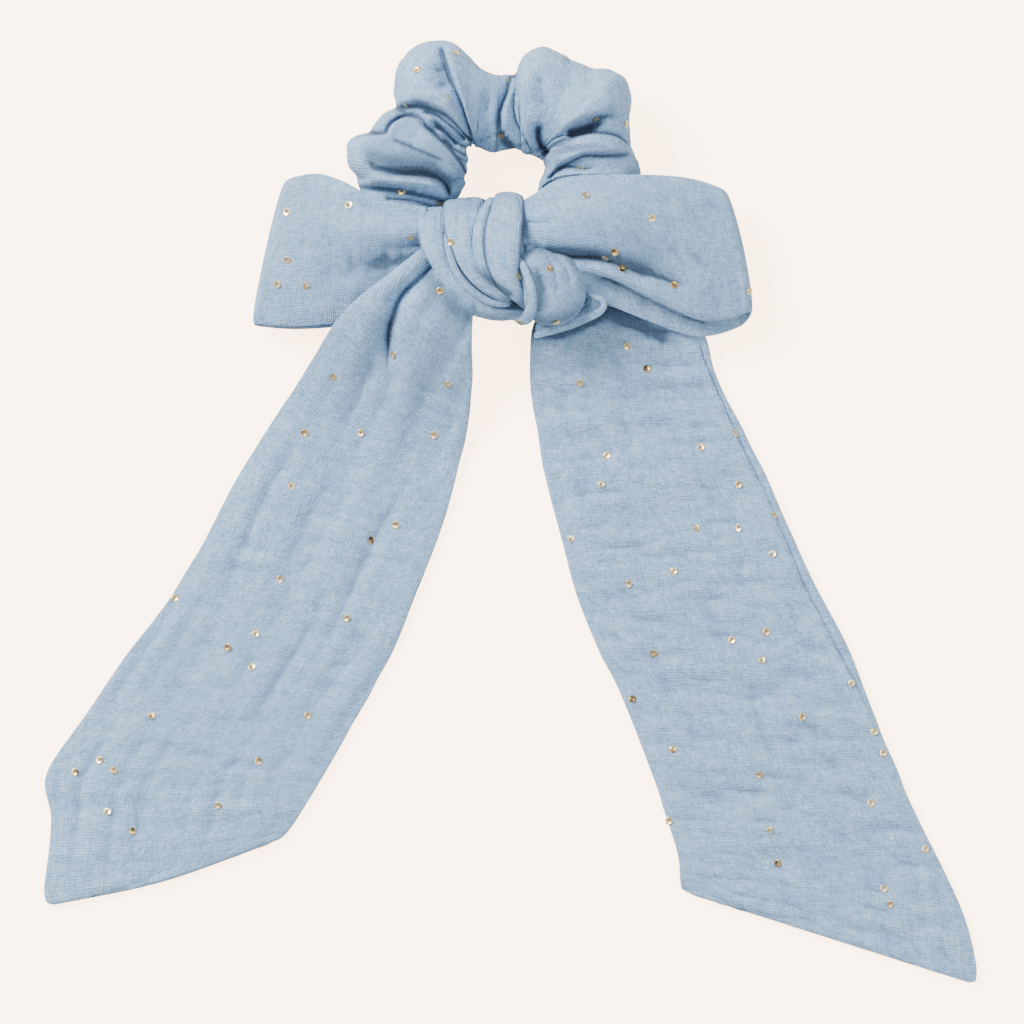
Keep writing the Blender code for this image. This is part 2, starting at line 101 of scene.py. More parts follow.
def crinkle(across, along, seed):
    """Double gauze's soft puckers, in mm of height: short ripples over the length, then finer."""
    warp = 0.7 * noise(across / 19, along / 15, seed + 5)
    ripples = noise(across / 16 + 3, along / 3.9 + warp, seed)
    shorter = noise(across / 8 + 5, along / 2.4 - warp, seed + 3)
    streaks = noise(across / 3.8 + warp, along / 16, seed + 1)
    fine = noise(across / 2.1, along / 1.9, seed + 2)
    return 0.42 * ripples + 0.2 * shorter + 0.2 * streaks + 0.12 * fine


def lengths_along(line):
    """Distance along a line from its first point to each of its points."""
    steps = np.linalg.norm(np.diff(line, axis=0), axis=1)
    return np.concatenate([[0.0], np.cumsum(steps)])


def turns_round(count):
    """Angles at even steps once round."""
    return TAU * np.arange(count) / count


def by_row(values, columns):
    """Grid in which each row holds one value."""
    return np.repeat(values[:, None], columns, axis=1)


def by_column(values, rows):
    """Grid in which each column holds one value."""
    return np.repeat(values[None], rows, axis=0)


# ---------------------------------------------------------------- drawn folds

# Rise of a tuck's upper cloth and fall of its lower cloth, as shares of the tuck's amount.
TUCK_RISE = 0.45
TUCK_FALL = 0.75
# Width over which one turns into the other, and how much farther the upper one reaches.
TUCK_STEP = 0.5
TUCK_REACH = 2.5


def line_distance(x, y, line):
    """Signed distance from a drawn line (left of its direction is positive) and share along it."""
    line = np.array(line, float)
    best = np.full(x.shape, 1e9)
    signed = np.zeros(x.shape)
    share = np.zeros(x.shape)
    lengths = np.hypot(*(line[1:] - line[:-1]).T)
    total = lengths.sum()
    passed = 0.0
    for start, end, length in zip(line[:-1], line[1:], lengths):
        dx, dy = end - start
        along = np.clip(((x - start[0]) * dx + (y - start[1]) * dy) / length**2, 0.0, 1.0)
        gap_x = x - start[0] - along * dx
        gap_y = y - start[1] - along * dy
        distance = np.hypot(gap_x, gap_y)
        nearer = distance < best
        side = np.sign(dx * gap_y - dy * gap_x)
        best = np.where(nearer, distance, best)
        signed = np.where(nearer, distance * side, signed)
        share = np.where(nearer, (passed + along * length) / total, share)
        passed += length
    return signed, share


def smooth_line(line, count=24):
    return curve(line, np.linspace(0, 1, count))


def stroke(x, y, kind, line, width, amount, fades=(0.2, 0.2)):
    """Height change made by one fold line, fading out over a share of it at either end.

    groove: a sharp crease; valley: a soft dip; ridge: a soft raised fold; tuck: the cloth
    left of the line lies over the cloth right of it; shade: painted shade instead of height,
    with one width to the left of the line and one to the right.
    """
    distance, share = line_distance(x, y, smooth_line(line))
    taper = smooth(share / max(fades[0], 1e-6)) * smooth((1 - share) / max(fades[1], 1e-6))
    away = np.abs(distance)
    if kind == "groove":
        shape = -np.exp(-away / width)
    elif kind == "valley":
        shape = -np.exp(-((away / width) ** 2))
    elif kind == "ridge":
        shape = np.exp(-((away / width) ** 2))
    elif kind == "shade":
        shape = np.exp(-((away / np.where(distance > 0, width[0], width[1])) ** 2))
    else:
        over = np.exp(-np.clip(distance, 0, None) / (TUCK_REACH * width))
        under = np.exp(-np.clip(-distance, 0, None) / width)
        blend = smooth(distance / TUCK_STEP + 0.5)
        shape = TUCK_RISE * over * blend - TUCK_FALL * under * (1 - blend)
    return amount * shape * taper


def sculpt(points, strokes, facing, from_eye=False):
    """Push points along z by every stroke, as far as their surface faces the front.

    Strokes called "shade" leave the shape alone: the share they return, 0..1, is shade painted
    on the cloth beside them, as if it lay out of the light deep in a pocket. With `from_eye` the
    strokes lie where the eye sees them against the table.
    """
    x, y = points[..., 0], points[..., 1]
    if from_eye:
        nearness = EYE / (EYE - points[..., 2])
        x, y = x * nearness, y * nearness
    lift = np.zeros(x.shape)
    shade = np.zeros(x.shape)
    for kind, line, width, amount, *fades in strokes:
        if kind == "shade":
            width = width if isinstance(width, tuple) else (width, width)
            shade += stroke(x, y, kind, line, width, amount, *fades)
        else:
            lift += stroke(x, y, kind, line, width, amount, *fades)
    points[..., 2] += lift * facing
    return shade


# ---------------------------------------------------------------- grids of points

# Painted shade in folds: how far each point lies down in the cloth's puckers and folds darkens its
# colour.
# Rounds of softening that level a cloth's fine puckers, and then its folds too.
PUCKER_ROUNDS = 6
FOLD_ROUNDS = 34
# A pucker gets its full painted shade from this depth, a fold from one depth to another.
PUCKER_DEPTH = 0.16
FOLD_START = 0.06
FOLD_DEPTH = 0.9
# What each of them adds to the painted shade.
PUCKER_SHARE = 0.55
FOLD_SHARE = 0.75


def grid_normals(points, closed_rows=False, closed_columns=True):
    """Unit normals of a grid of points [rows, columns, 3]."""
    def step(axis, closed):
        if closed:
            return np.roll(points, -1, axis) - np.roll(points, 1, axis)
        return np.gradient(points, axis=axis)

    normal = np.cross(step(0, closed_rows), step(1, closed_columns))
    return normal / np.maximum(np.linalg.norm(normal, axis=-1, keepdims=True), 1e-9)


def relax(points, turns, closed_rows=False, closed_columns=True):
    """Soften a grid so that drawn folds lose their hard corners."""
    for _ in range(turns):
        total = np.zeros_like(points)
        for axis, closed in ((0, closed_rows), (1, closed_columns)):
            ahead, behind = np.roll(points, -1, axis), np.roll(points, 1, axis)
            if not closed:
                first = [slice(None)] * 3
                last = [slice(None)] * 3
                first[axis], last[axis] = 0, -1
                ahead[tuple(last)] = points[tuple(last)]
                behind[tuple(first)] = points[tuple(first)]
            total += ahead + behind
        points = 0.5 * points + 0.125 * total
    return points


def hollows(points, closed_rows):
    """Share 0..1 of shade painted on every point of a cloth body, by how far it lies down in a fold."""
    normal = grid_normals(points, closed_rows)
    if np.mean(np.sum(normal * (points - points.mean(axis=1, keepdims=True)), axis=-1)) < 0:
        normal = -normal
    fine = relax(points, PUCKER_ROUNDS, closed_rows)
    broad = relax(fine, FOLD_ROUNDS, closed_rows)
    pucker = np.clip(np.sum((fine - points) * normal, axis=-1) / PUCKER_DEPTH, 0, 1)
    deep = np.sum((broad - points) * normal, axis=-1)
    fold = np.clip((deep - FOLD_START) / FOLD_DEPTH, 0, 1)
    return np.clip(PUCKER_SHARE * pucker + FOLD_SHARE * fold, 0, 1)


def ring_quads(rings, sides, closed):
    """Faces between one ring of points and the next, and back to the first ring if closed."""
    faces = []
    for ring in range(rings if closed else rings - 1):
        here, there = ring * sides, (ring + 1) % rings * sides
        for side in range(sides):
            after = (side + 1) % sides
            faces.append((here + side, here + after, there + after, there + side))
    return faces


def end_share(along, total, radius):
    """Rounded run-out of a strip's thickness at its far end."""
    left = np.clip((total - along) / radius, 0.0, 1.0)
    return np.sqrt(np.clip(1.0 - (1.0 - left) ** 2, 0.0, 1.0))


def section_columns(count):
    """Positions -1..1 across a strip, closer together at its edges."""
    return np.sin(0.5 * np.pi * np.linspace(-1, 1, count))


def inner_share(across):
    """1 over the middle of a strip, falling to 0 at its very edges."""
    return 1.0 - np.abs(across[None, :]) ** 6


def thicken(sheet, across, thickness, ends, power=8):
    """Give a sheet of points its cloth's thickness, rounded at its edges.

    `ends` is the share of full thickness per row. Returns sections ready for sweep().
    """
    normal = grid_normals(sheet, closed_columns=False)
    share = np.sqrt(np.clip(1.0 - np.abs(across) ** power, 0.0, 1.0))
    half = 0.5 * thickness * share[None, :, None] * ends[:, None, None]
    return around(sheet + normal * half, sheet - normal * half)


def around(front, back=None):
    """Go on from a strip's front over its back, which repeats the front if none is given."""
    back = front if back is None else back
    return np.concatenate([front, back[:, -2:0:-1]], axis=1)


def cloth_marks(across, along, seed):
    """Place of every point on its own cloth, which the weave follows."""
    return np.stack([across, along, np.full_like(across, seed)], axis=-1)


# ---------------------------------------------------------------- meshes


def add_mesh(name, points, faces, material, weave=None, painted_shade=None):
    mesh = bpy.data.meshes.new(name)
    mesh.from_pydata((np.asarray(points, float) * MM).tolist(), [], faces)
    mesh.update()
    if weave is not None:
        layer = mesh.attributes.new("weave", "FLOAT_VECTOR", "POINT")
        layer.data.foreach_set("vector", np.asarray(weave, np.float32).ravel())
    # Share of painted shade per point, which the gauze material turns into darker colour.
    if painted_shade is not None:
        layer = mesh.attributes.new("painted_shade", "FLOAT", "POINT")
        layer.data.foreach_set("value", np.asarray(painted_shade, np.float32).ravel())
    thing = bpy.data.objects.new(name, mesh)
    bpy.context.scene.collection.objects.link(thing)
    mesh.materials.append(material)
    mesh.shade_smooth()
    return thing


def sampled_volume(points, faces, samples=4000):
    """Sum of some of the faces' signed volumes: below zero if they face inwards."""
    total = 0.0
    for face in faces[:: max(1, len(faces) // samples)]:
        a, b, c = (points[i] for i in face[:3])
        total += np.dot(a, np.cross(b, c))
    return total


def sweep(name, points, material, weave, closed_rows=False, shade=0.0, deep=1.0):
    """Closed cloth body from a grid of points whose columns run right round its section.

    `deep` says how strongly shade is painted into its folds, `shade` what painted shade is added besides.
    """
    rows, columns, _ = points.shape
    index = np.arange(rows * columns).reshape(rows, columns)
    there = np.roll(index, -1, 0) if closed_rows else index[1:]
    here = index if closed_rows else index[:-1]
    quads = np.stack(
        [here, np.roll(here, -1, 1), np.roll(there, -1, 1), there], axis=-1
    ).reshape(-1, 4)
    flat = points.reshape(-1, 3)
    marks = weave.reshape(-1, 3)
    painted_shade = np.clip(deep * hollows(points, closed_rows) + shade, 0, 1).ravel()
    faces = quads.tolist()
    if not closed_rows:
        for row, turn in ((index[0], -1), (index[-1], 1)):
            middle = len(flat)
            flat = np.vstack([flat, flat[row].mean(0)])
            marks = np.vstack([marks, marks[row].mean(0)])
            painted_shade = np.append(painted_shade, painted_shade[row].mean())
            for one, two in zip(row, np.roll(row, -1)):
                faces.append([int(one), int(two), middle][::turn])
    if sampled_volume(flat, faces) < 0:
        faces = [face[::-1] for face in faces]
    return add_mesh(name, flat, faces, material, marks, painted_shade)


# ---------------------------------------------------------------- materials

GAUZE_DEEP = (0.195, 0.342, 0.545)
GAUZE_BASE = (0.295, 0.470, 0.695)
GAUZE_PALE = (0.410, 0.600, 0.805)
# Painted shade: the cloth's colours half way into a fold and deep in a pocket.
GAUZE_SHADED = (0.095, 0.180, 0.325)
GAUZE_POCKET_SHADE = (0.018, 0.038, 0.082)
GAUZE_SHEEN = (0.75, 0.87, 1.0)
# Pitch of the gauze's threads and of the elastic's ribs.
THREAD_PITCH = 0.58
RIB_PITCH = 0.9


class Graph:
    """Short way to write a material's nodes."""

    def __init__(self, name):
        self.material = bpy.data.materials.new(name)
        self.material.use_nodes = True
        self.tree = self.material.node_tree
        self.shader = self.tree.nodes["Principled BSDF"]

    def node(self, kind, settings=None, **inputs):
        made = self.tree.nodes.new(kind)
        for key, value in (settings or {}).items():
            setattr(made, key, value)
        for key, value in inputs.items():
            self.put(made, key.replace("_", " "), value)
        return made

    def put(self, node, key, value):
        socket = node.inputs[int(key)] if str(key).isdigit() else node.inputs[key]
        if isinstance(value, bpy.types.NodeSocket):
            self.tree.links.new(value, socket)
        else:
            socket.default_value = value

    def look(self, **inputs):
        """Set the surface's own inputs."""
        for key, value in inputs.items():
            self.put(self.shader, key.replace("_", " "), value)

    def maths(self, operation, one, two=0.0, three=0.0):
        made = self.node("ShaderNodeMath", {"operation": operation})
        for place, value in enumerate((one, two, three)):
            self.put(made, place, value)
        return made.outputs[0]

    def weighted(self, first, weight, *others):
        """Sum of signals, each times its weight."""
        total = self.maths("MULTIPLY", first, weight)
        for signal, share in others:
            total = self.maths("ADD", total, self.maths("MULTIPLY", signal, share))
        return total

    def place(self):
        return self.node("ShaderNodeNewGeometry").outputs["Position"]

    def noise(self, vector, scale, detail=2.0, roughness=0.5):
        return self.node(
            "ShaderNodeTexNoise", {"noise_dimensions": "3D"},
            Vector=vector, Scale=scale, Detail=detail, Roughness=roughness,
        ).outputs[0]

    def stretch(self, vector, scale):
        return self.node("ShaderNodeMapping", Vector=vector, Scale=scale).outputs[0]

    def bump(self, height, strength, distance):
        return self.node(
            "ShaderNodeBump", Strength=strength, Distance=distance, Height=height
        ).outputs[0]

    def ramp(self, share, stops):
        made = self.node("ShaderNodeValToRGB", Fac=share)
        elements = made.color_ramp.elements
        while len(elements) < len(stops):
            elements.new(0.5)
        for element, (place, colour) in zip(elements, stops):
            element.position = place
            element.color = (*colour, 1.0)
        return made.outputs[0]


def gauze_material():
    """Crossed threads, slubs and soft mottling, all laid out along the cloth's own directions.

    Its folds and pockets get painted shade, darker the deeper they lie.
    """
    g = Graph("gauze")
    weave = g.node("ShaderNodeAttribute", {"attribute_name": "weave"}).outputs["Vector"]
    painted_shade = g.node("ShaderNodeAttribute", {"attribute_name": "painted_shade"}).outputs["Fac"]
    split = g.node("ShaderNodeSeparateXYZ", Vector=weave)
    wander = g.maths("MULTIPLY", g.maths("SUBTRACT", g.noise(weave, 0.55, 2.0), 0.5), 7.0)
    turns = TAU / THREAD_PITCH
    warp = g.maths("SINE", g.maths("MULTIPLY_ADD", split.outputs[0], turns, wander))
    weft = g.maths("SINE", g.maths("MULTIPLY_ADD", split.outputs[1], turns, wander))
    crossing = g.maths("MULTIPLY", g.maths("ADD", warp, weft), 0.5)
    slub_along = g.noise(g.stretch(weave, (1.9, 0.42, 1.0)), 1.0, 1.0, 0.5)
    slub_across = g.noise(g.stretch(weave, (0.42, 1.9, 1.0)), 1.0, 1.0, 0.5)
    slubs = g.maths("MULTIPLY", g.maths("ADD", slub_along, slub_across), 0.5)
    mottle = g.noise(weave, 0.11, 3.0, 0.6)
    patch = g.noise(g.stretch(weave, (0.5, 0.7, 1.0)), 1.0, 2.0, 0.6)

    tone = g.weighted(crossing, 0.085, (slubs, 0.95), (mottle, 0.16), (patch, 0.14))
    cloth = g.ramp(tone, [(0.44, GAUZE_DEEP), (0.63, GAUZE_BASE), (0.82, GAUZE_PALE)])
    # Painted shade: the fold-shade share turns the cloth's colour towards these shaded colours.
    dark = g.ramp(painted_shade, [(0.5, GAUZE_SHADED), (1.0, GAUZE_POCKET_SHADE)])
    mix = g.node("ShaderNodeMix", {"data_type": "RGBA"})
    # A colour mix has its share at input 0 and its two colours at inputs 6 and 7.
    for place, value in ((0, g.maths("MULTIPLY", painted_shade, 0.82)), (6, cloth), (7, dark)):
        g.put(mix, place, value)

    height = g.weighted(crossing, 0.8, (slubs, 3.0), (patch, 2.4))
    g.look(
        Base_Color=mix.outputs[2], Roughness=0.93, Normal=g.bump(height, 0.8, 0.0002),
        Sheen_Weight=0.16, Sheen_Roughness=0.45, Sheen_Tint=(*GAUZE_SHEEN, 1.0),
        Specular_IOR_Level=0.15,
    )
    return g.material


def gold_material():
    """Metallised film: gold that drifts from pale to bronze, with faintly mottled roughness."""
    g = Graph("gold_film")
    colour = g.ramp(g.noise(g.place(), 260.0, 1.0), [
        (0.29, (0.12, 0.075, 0.03)), (0.34, (0.85, 0.52, 0.17)),
        (0.46, (1.0, 0.72, 0.32)), (0.60, (1.0, 0.84, 0.50)),
    ])
    roughness = g.maths("MULTIPLY_ADD", g.noise(g.place(), 2600.0, 2.0), 0.2, 0.22)
    g.look(Base_Color=colour, Metallic=1.0, Roughness=roughness)
    return g.material


def thread_material(colour):
    g = Graph("gold_thread")
    ply = g.noise(g.place(), 1800.0, 2.0)
    pale = tuple(min(1.0, value * 1.15) for value in colour)
    dark = tuple(value * 0.75 for value in colour)
    g.look(
        Base_Color=g.ramp(ply, [(0.35, dark), (0.65, pale)]), Roughness=0.8, Sheen_Weight=0.3,
        Normal=g.bump(ply, 0.4, 0.00008),
    )
    return g.material


def elastic_material():
    """Woven elastic: rows of white ribs along the band."""
    g = Graph("woven_elastic")
    split = g.node("ShaderNodeSeparateXYZ", Vector=g.place())
    ribs = g.maths("SINE", g.maths("MULTIPLY", split.outputs[2], TAU / (RIB_PITCH * MM)))
    fuzz = g.noise(g.place(), 1500.0, 2.0)
    tone = g.maths("MULTIPLY_ADD", ribs, 0.18, g.maths("MULTIPLY_ADD", fuzz, 0.4, 0.3))
    colour = g.ramp(tone, [(0.2, (0.62, 0.62, 0.6)), (0.8, (0.9, 0.9, 0.88))])
    g.look(Base_Color=colour, Roughness=0.85, Normal=g.bump(tone, 0.5, 0.0001))
    return g.material


# ---------------------------------------------------------------- tails

# Edges of the tails from the knot to the slanted end, and the folds drawn on them. Every fold
# table has the kind, line, width, amount and fades of each stroke.
LEFT_TAIL_LEFT = [
    (-22.5, 80.5, 25), (-27.5, 76.6, 27.6), (-34.5, 71.2, 27), (-43, 65, 24.2), (-51, 57, 18.6),
    (-58, 46.5, 9.5), (-66, 34, 2.6), (-74, 22, 0.6), (-82, 9, 0), (-91, -8, 0), (-101, -25, 0),
    (-114, -42, 0), (-125, -58, 0), (-138, -78, 0), (-137, -93, 0), (-139.8, -118.2, 0),
]
LEFT_TAIL_RIGHT = [
    (-9, 66, 24), (-11, 60.5, 24.6), (-11.6, 54, 21), (-11.8, 46, 15.2), (-12, 37, 9), (-13.2, 28, 4.2),
    (-15.3, 17.5, 1.2), (-19, 3, 0), (-23, -8.5, 0), (-28.5, -23, 0), (-35.5, -40.5, 0), (-43.5, -55, 0),
    (-51.5, -69, 0), (-59.5, -83, 0), (-64.8, -91.8, 0), (-69.4, -98.2, 0),
]
LEFT_TAIL_FOLDS = [
    ("valley", [(-20, 76), (-25.5, 70.8), (-31.5, 65.6), (-33.8, 61), (-35.4, 55), (-35.8, 49),
     (-37, 40)], 2.1, 6.2, (0.05, 0.35)),
    ("groove", [(-20, 76), (-25.5, 70.8), (-31.5, 65.6), (-33.8, 61), (-35.4, 55), (-35.8, 49),
     (-36.4, 43)], 1, 3.4, (0.05, 0.3)),
    ("ridge", [(-17.5, 73), (-24.5, 66.5), (-28.6, 60), (-30, 50), (-32, 36), (-41, 10)], 3.6, 1.8,
     (0.05, 0.6)),
    ("ridge", [(-26.5, 77), (-36, 67.5), (-42, 57), (-49, 42), (-60, 20)], 4, 1.6, (0.1, 0.6)),
    ("ridge", [(-14, 67), (-21, 60), (-24.5, 50), (-26.5, 36)], 4, 1.2, (0.1, 0.6)),
    ("shade", [(-22, 74), (-28, 68.6), (-33, 62.6), (-35.6, 55), (-36, 47), (-37, 40)], (0.9, 1.3), 1.05,
     (0.2, 0.35)),
    ("shade", [(-34.8, 59), (-35.8, 54), (-35.8, 49)], (0.8, 1.6), 1, (0.3, 0.3)),
    ("shade", [(-36.6, 62), (-38, 54), (-38.6, 46)], 3, 0.4, (0.3, 0.4)),
    ("shade", [(-26, 74), (-20, 66.4), (-14, 60.4), (-9, 57.4)], (3, 4.6), 0.8, (0.15, 0.1)),
    ("valley", [(-40, 38), (-52, 8), (-70, -26), (-92, -62)], 4.5, 0.9, (0.3, 0.4)),
    ("valley", [(-31, 30), (-38, 2), (-52, -32), (-66, -62)], 3.6, 0.7, (0.3, 0.4)),
    ("valley", [(-58, 26), (-76, -8), (-96, -44), (-118, -78)], 4.2, 0.7, (0.3, 0.4)),
    ("groove", [(-133.5, -115), (-122, -113.4), (-110, -110), (-98, -105)], 0.8, 1, (0.2, 0.25)),
    ("valley", [(-137.5, -84), (-126, -88), (-112, -90)], 3, 0.8, (0.05, 0.6)),
]
RIGHT_TAIL_LEFT = [
    (6, 74, 14), (7.6, 70, 12), (8.6, 65.4, 9), (8.6, 60, 6.6), (6.8, 54, 4.2), (6.4, 44, 1.6),
    (6.8, 36, 0.4), (9, 22, 0), (12, 7, 0), (16, -8, 0), (20.4, -24, 0), (27.2, -41, 0), (33.4, -54, 0),
    (40.5, -72, 0), (47, -90, 0), (51, -103, 0), (51.2, -110, 0), (52.4, -113.4, 0),
]
RIGHT_TAIL_RIGHT = [
    (12, 76, 14), (22, 72.4, 12.4), (36, 66.6, 9.6), (50, 60, 6.6), (57.5, 54, 4.2), (60.5, 44, 1.6),
    (63.6, 36.5, 0.4), (69.6, 25, 0), (76, 12, 0), (82.5, -3, 0), (90.5, -20.5, 0), (100, -38.5, 0),
    (107.4, -57, 0), (114.6, -74.5, 0), (122.4, -92.5, 0), (130, -108, 0), (136.4, -123, 0),
    (140.8, -141.6, 0),
]
RIGHT_TAIL_FOLDS = [
    ("tuck", [(112.5, -70), (108, -60), (96.5, -38), (87, -19), (77, 4.6), (69, 21), (58.5, 45),
     (56.5, 52)], 0.7, 2.4, (0.12, 0.02)),
    ("shade", [(108.4, -60), (97, -38), (87.5, -19), (77.5, 4.6), (69.5, 21), (59, 45), (57, 52)], 0.5,
     0.7, (0.12, 0.02)),
    ("valley", [(22, 62), (24, 48), (28, 34)], 3.4, 0.6, (0.4, 0.6)),
    ("shade", [(4, 55), (14, 54), (22, 57), (29, 60), (36, 57.4), (44, 53.6), (54, 50.6)], (5, 2.2), 1.2,
     (0.02, 0.2)),
    ("ridge", [(32, 62), (36, 48), (42, 32)], 4, 1, (0.05, 0.7)),
    ("valley", [(45, 58), (47, 46), (52, 34)], 3, 0.8, (0.05, 0.7)),
    ("valley", [(10, 20), (30, 24), (52, 22)], 3, 0.5, (0.2, 0.5)),
    ("valley", [(22, -26), (48, -20), (76, -26)], 3.4, 0.6, (0.2, 0.5)),
    ("valley", [(34, -56), (60, -50), (96, -58)], 3.4, 0.6, (0.2, 0.5)),
    ("valley", [(48, -92), (74, -84), (112, -92)], 3.4, 0.6, (0.2, 0.5)),
]
TAIL_ROWS = 340
# Power above one: the rows lie closer together towards the far end.
ROW_CROWDING = 1.06
TAIL_COLUMNS = 84
TAIL_THICKNESS = 2.6
TAIL_CLEARANCE = 0.35
TAIL_PUCKER = 1.95
TAIL_CORNER = 5.0
# Least height of cloth over the table.
TABLE_GAP = 0.02
# Length over which a tail's end bows out.
END_LENGTH = 45


def round_corners(sheet, one, two, across, along, radius):
    """Bend the square end corners of a strip into soft ones."""
    sideways = two - one
    width = np.linalg.norm(sideways, axis=1, keepdims=True)
    sideways = (sideways / width)[:, None]
    lengthways = np.gradient(sheet, axis=0)
    lengthways /= np.linalg.norm(lengthways, axis=-1, keepdims=True)
    from_side = width / 2 * (1 - np.abs(across[None]))
    from_end = by_row(along[-1] - along, len(across))
    a = np.clip(1 - from_side / radius, 0, 1)
    b = np.clip(1 - from_end / radius, 0, 1)
    inwards = radius * a * (1 - np.sqrt(1 - b**2 / 2))
    backwards = radius * b * (1 - np.sqrt(1 - a**2 / 2))
    sheet = sheet - sideways * (np.sign(across) * inwards)[..., None]
    return sheet - lengthways * backwards[..., None]


def tail(name, left, right, folds, seed, material, margins, bow=0.0, streaks=0.0):
    """One tail of the sash: two layers of gauze lying as one flat, puckered strip.

    `margins` widens it at either edge, `bow` rounds its slanted end outwards and `streaks`,
    0..1, turns its puckers from crosswise to lengthwise.
    """
    share = np.linspace(0, 1, TAIL_ROWS)
    share = 1.0 - (1.0 - share) ** ROW_CROWDING
    across = section_columns(TAIL_COLUMNS)
    part = (across + 1) / 2
    one, two = curve(left, share), curve(right, share)
    sideways = (two - one) / np.linalg.norm(two - one, axis=1, keepdims=True)
    one, two = one - margins[0] * sideways, two + margins[1] * sideways
    sheet = one[:, None] + (two - one)[:, None] * part[None, :, None]
    width = np.linalg.norm(two - one, axis=1)
    along = lengths_along((one + two) / 2)
    grid_across = across[None, :] * width[:, None] / 2
    grid_along = by_row(along, TAIL_COLUMNS)
    near_end = smooth((grid_along - along[-1] + END_LENGTH) / END_LENGTH)
    sheet[..., 1] -= bow * np.sin(np.pi * part)[None, :] ** 1.5 * near_end
    sheet[..., 2] += TAIL_THICKNESS / 2 + TAIL_CLEARANCE

    inner = inner_share(across)
    bent_across = grid_across / 3.6 + 0.8 * noise(grid_along / 50, grid_across / 30, 3)
    lengthwise = noise(bent_across, grid_along / 46, seed + 9)
    wrinkles = (1 - 0.45 * streaks) * crinkle(grid_across, grid_along, seed) + (
        0.55 * streaks * lengthwise
    )
    sheet[..., 2] += TAIL_PUCKER * wrinkles * (0.3 + 0.7 * inner)
    sheet = round_corners(sheet, one, two, across, along, TAIL_CORNER)
    edge_waver = noise(grid_along / 9, grid_across * 0 + np.sign(across)[None, :], seed + 4)
    sheet[..., 0] += 0.25 * edge_waver * np.abs(across[None, :]) ** 4
    shade = sculpt(sheet, folds, by_column(inner[0], TAIL_ROWS))
    sheet = relax(sheet, 2, closed_columns=False)
    body = thicken(sheet, across, TAIL_THICKNESS, end_share(along, along[-1], 2.2), 5)
    body[..., 2] = np.maximum(body[..., 2], TABLE_GAP)
    marks = around(cloth_marks(grid_across, grid_along, seed * 7.3))
    return sweep(name, body, material, marks, shade=around(shade), deep=0.6)


# ---------------------------------------------------------------- bow loops

# Upper and lower edges of each loop's two layers, from the knot outwards.
LEFT_LOOP = {
    "front_upper": [
        (-24.5, 91, 24), (-33, 92.2, 24.5), (-40, 93.6, 24.2), (-48, 98.2, 22.6), (-56, 101.2, 19),
        (-63.4, 101.6, 15.5),
    ],
    "front_lower": [
        (-24, 68, 22), (-33, 64, 18.6), (-41, 60.6, 15.4), (-50, 57.2, 12), (-62, 56, 9),
        (-74.8, 55.6, 7.6),
    ],
    "back_upper": [
        (-24.5, 90, 20.5), (-33, 91.4, 20.6), (-40, 92.6, 19.6), (-48, 97.2, 16.6), (-56, 99.8, 12.4),
        (-62.8, 100.4, 8.6),
    ],
    "back_lower": [
        (-24, 68, 20), (-33, 63, 17.2), (-41, 59.4, 13.6), (-50, 56.2, 8.6), (-62, 55.2, 5.2),
        (-74.4, 55, 3.2),
    ],
}
LEFT_LOOP_FOLDS = [
    ("valley", [(-24, 77.5), (-34, 76), (-45, 74), (-60, 73)], 5, 2.2, (0.02, 0.6)),
    ("ridge", [(-24, 84.5), (-38, 84), (-54, 86.5)], 4.2, 2.4, (0.02, 0.6)),
    ("ridge", [(-25, 71), (-38, 67.5), (-54, 65)], 3.6, 1.8, (0.02, 0.6)),
    ("valley", [(-26, 89.5), (-38, 90.5), (-50, 94)], 1.8, 1.3, (0.02, 0.5)),
    ("groove", [(-26, 80.5), (-33, 80), (-40, 79.6)], 0.9, 1.2, (0.02, 0.6)),
    ("groove", [(-26.5, 86.5), (-32, 87), (-38, 88)], 0.8, 0.9, (0.02, 0.6)),
    ("shade", [(-26, 76), (-34, 72.5), (-44, 65), (-54, 59)], 4.4, 0.5, (0.05, 0.4)),
    ("shade", [(-34, 76), (-50, 74), (-62, 74)], 9, 0.3, (0.1, 0.3)),
    ("shade", [(-27, 76), (-33, 75.2), (-42, 75.6)], 1.8, 0.4, (0.1, 0.4)),
    ("shade", [(-26, 78), (-48, 78), (-70, 78)], 24, 0.09, (0.02, 0.05)),
    ("valley", [(-66, 96), (-70, 80), (-73, 62)], 2.6, 0.8, (0.3, 0.3)),
]
RIGHT_LOOP = {
    "front_upper": [
        (-1, 90, 19), (7, 94.6, 22), (16, 99.6, 24.4), (32, 100.6, 24), (46, 100.6, 20), (61, 99.6, 14.6),
    ],
    "front_lower": [
        (0, 76, 20), (16, 73, 22), (30, 69.6, 22), (44, 62.6, 18.4), (56, 57.8, 15.2), (70.4, 57.6, 11.6),
    ],
    "back_upper": [
        (0, 88, 15), (8, 93.4, 17), (16, 98, 18.4), (32, 99, 18.4), (46, 99, 13.4), (60.4, 98, 8),
    ],
    "back_lower": [
        (2, 72, 16), (18, 66, 17), (31, 61.6, 15.6), (44, 56.6, 11.6), (56, 53, 8.6), (69.8, 54.6, 6.2),
    ],
}
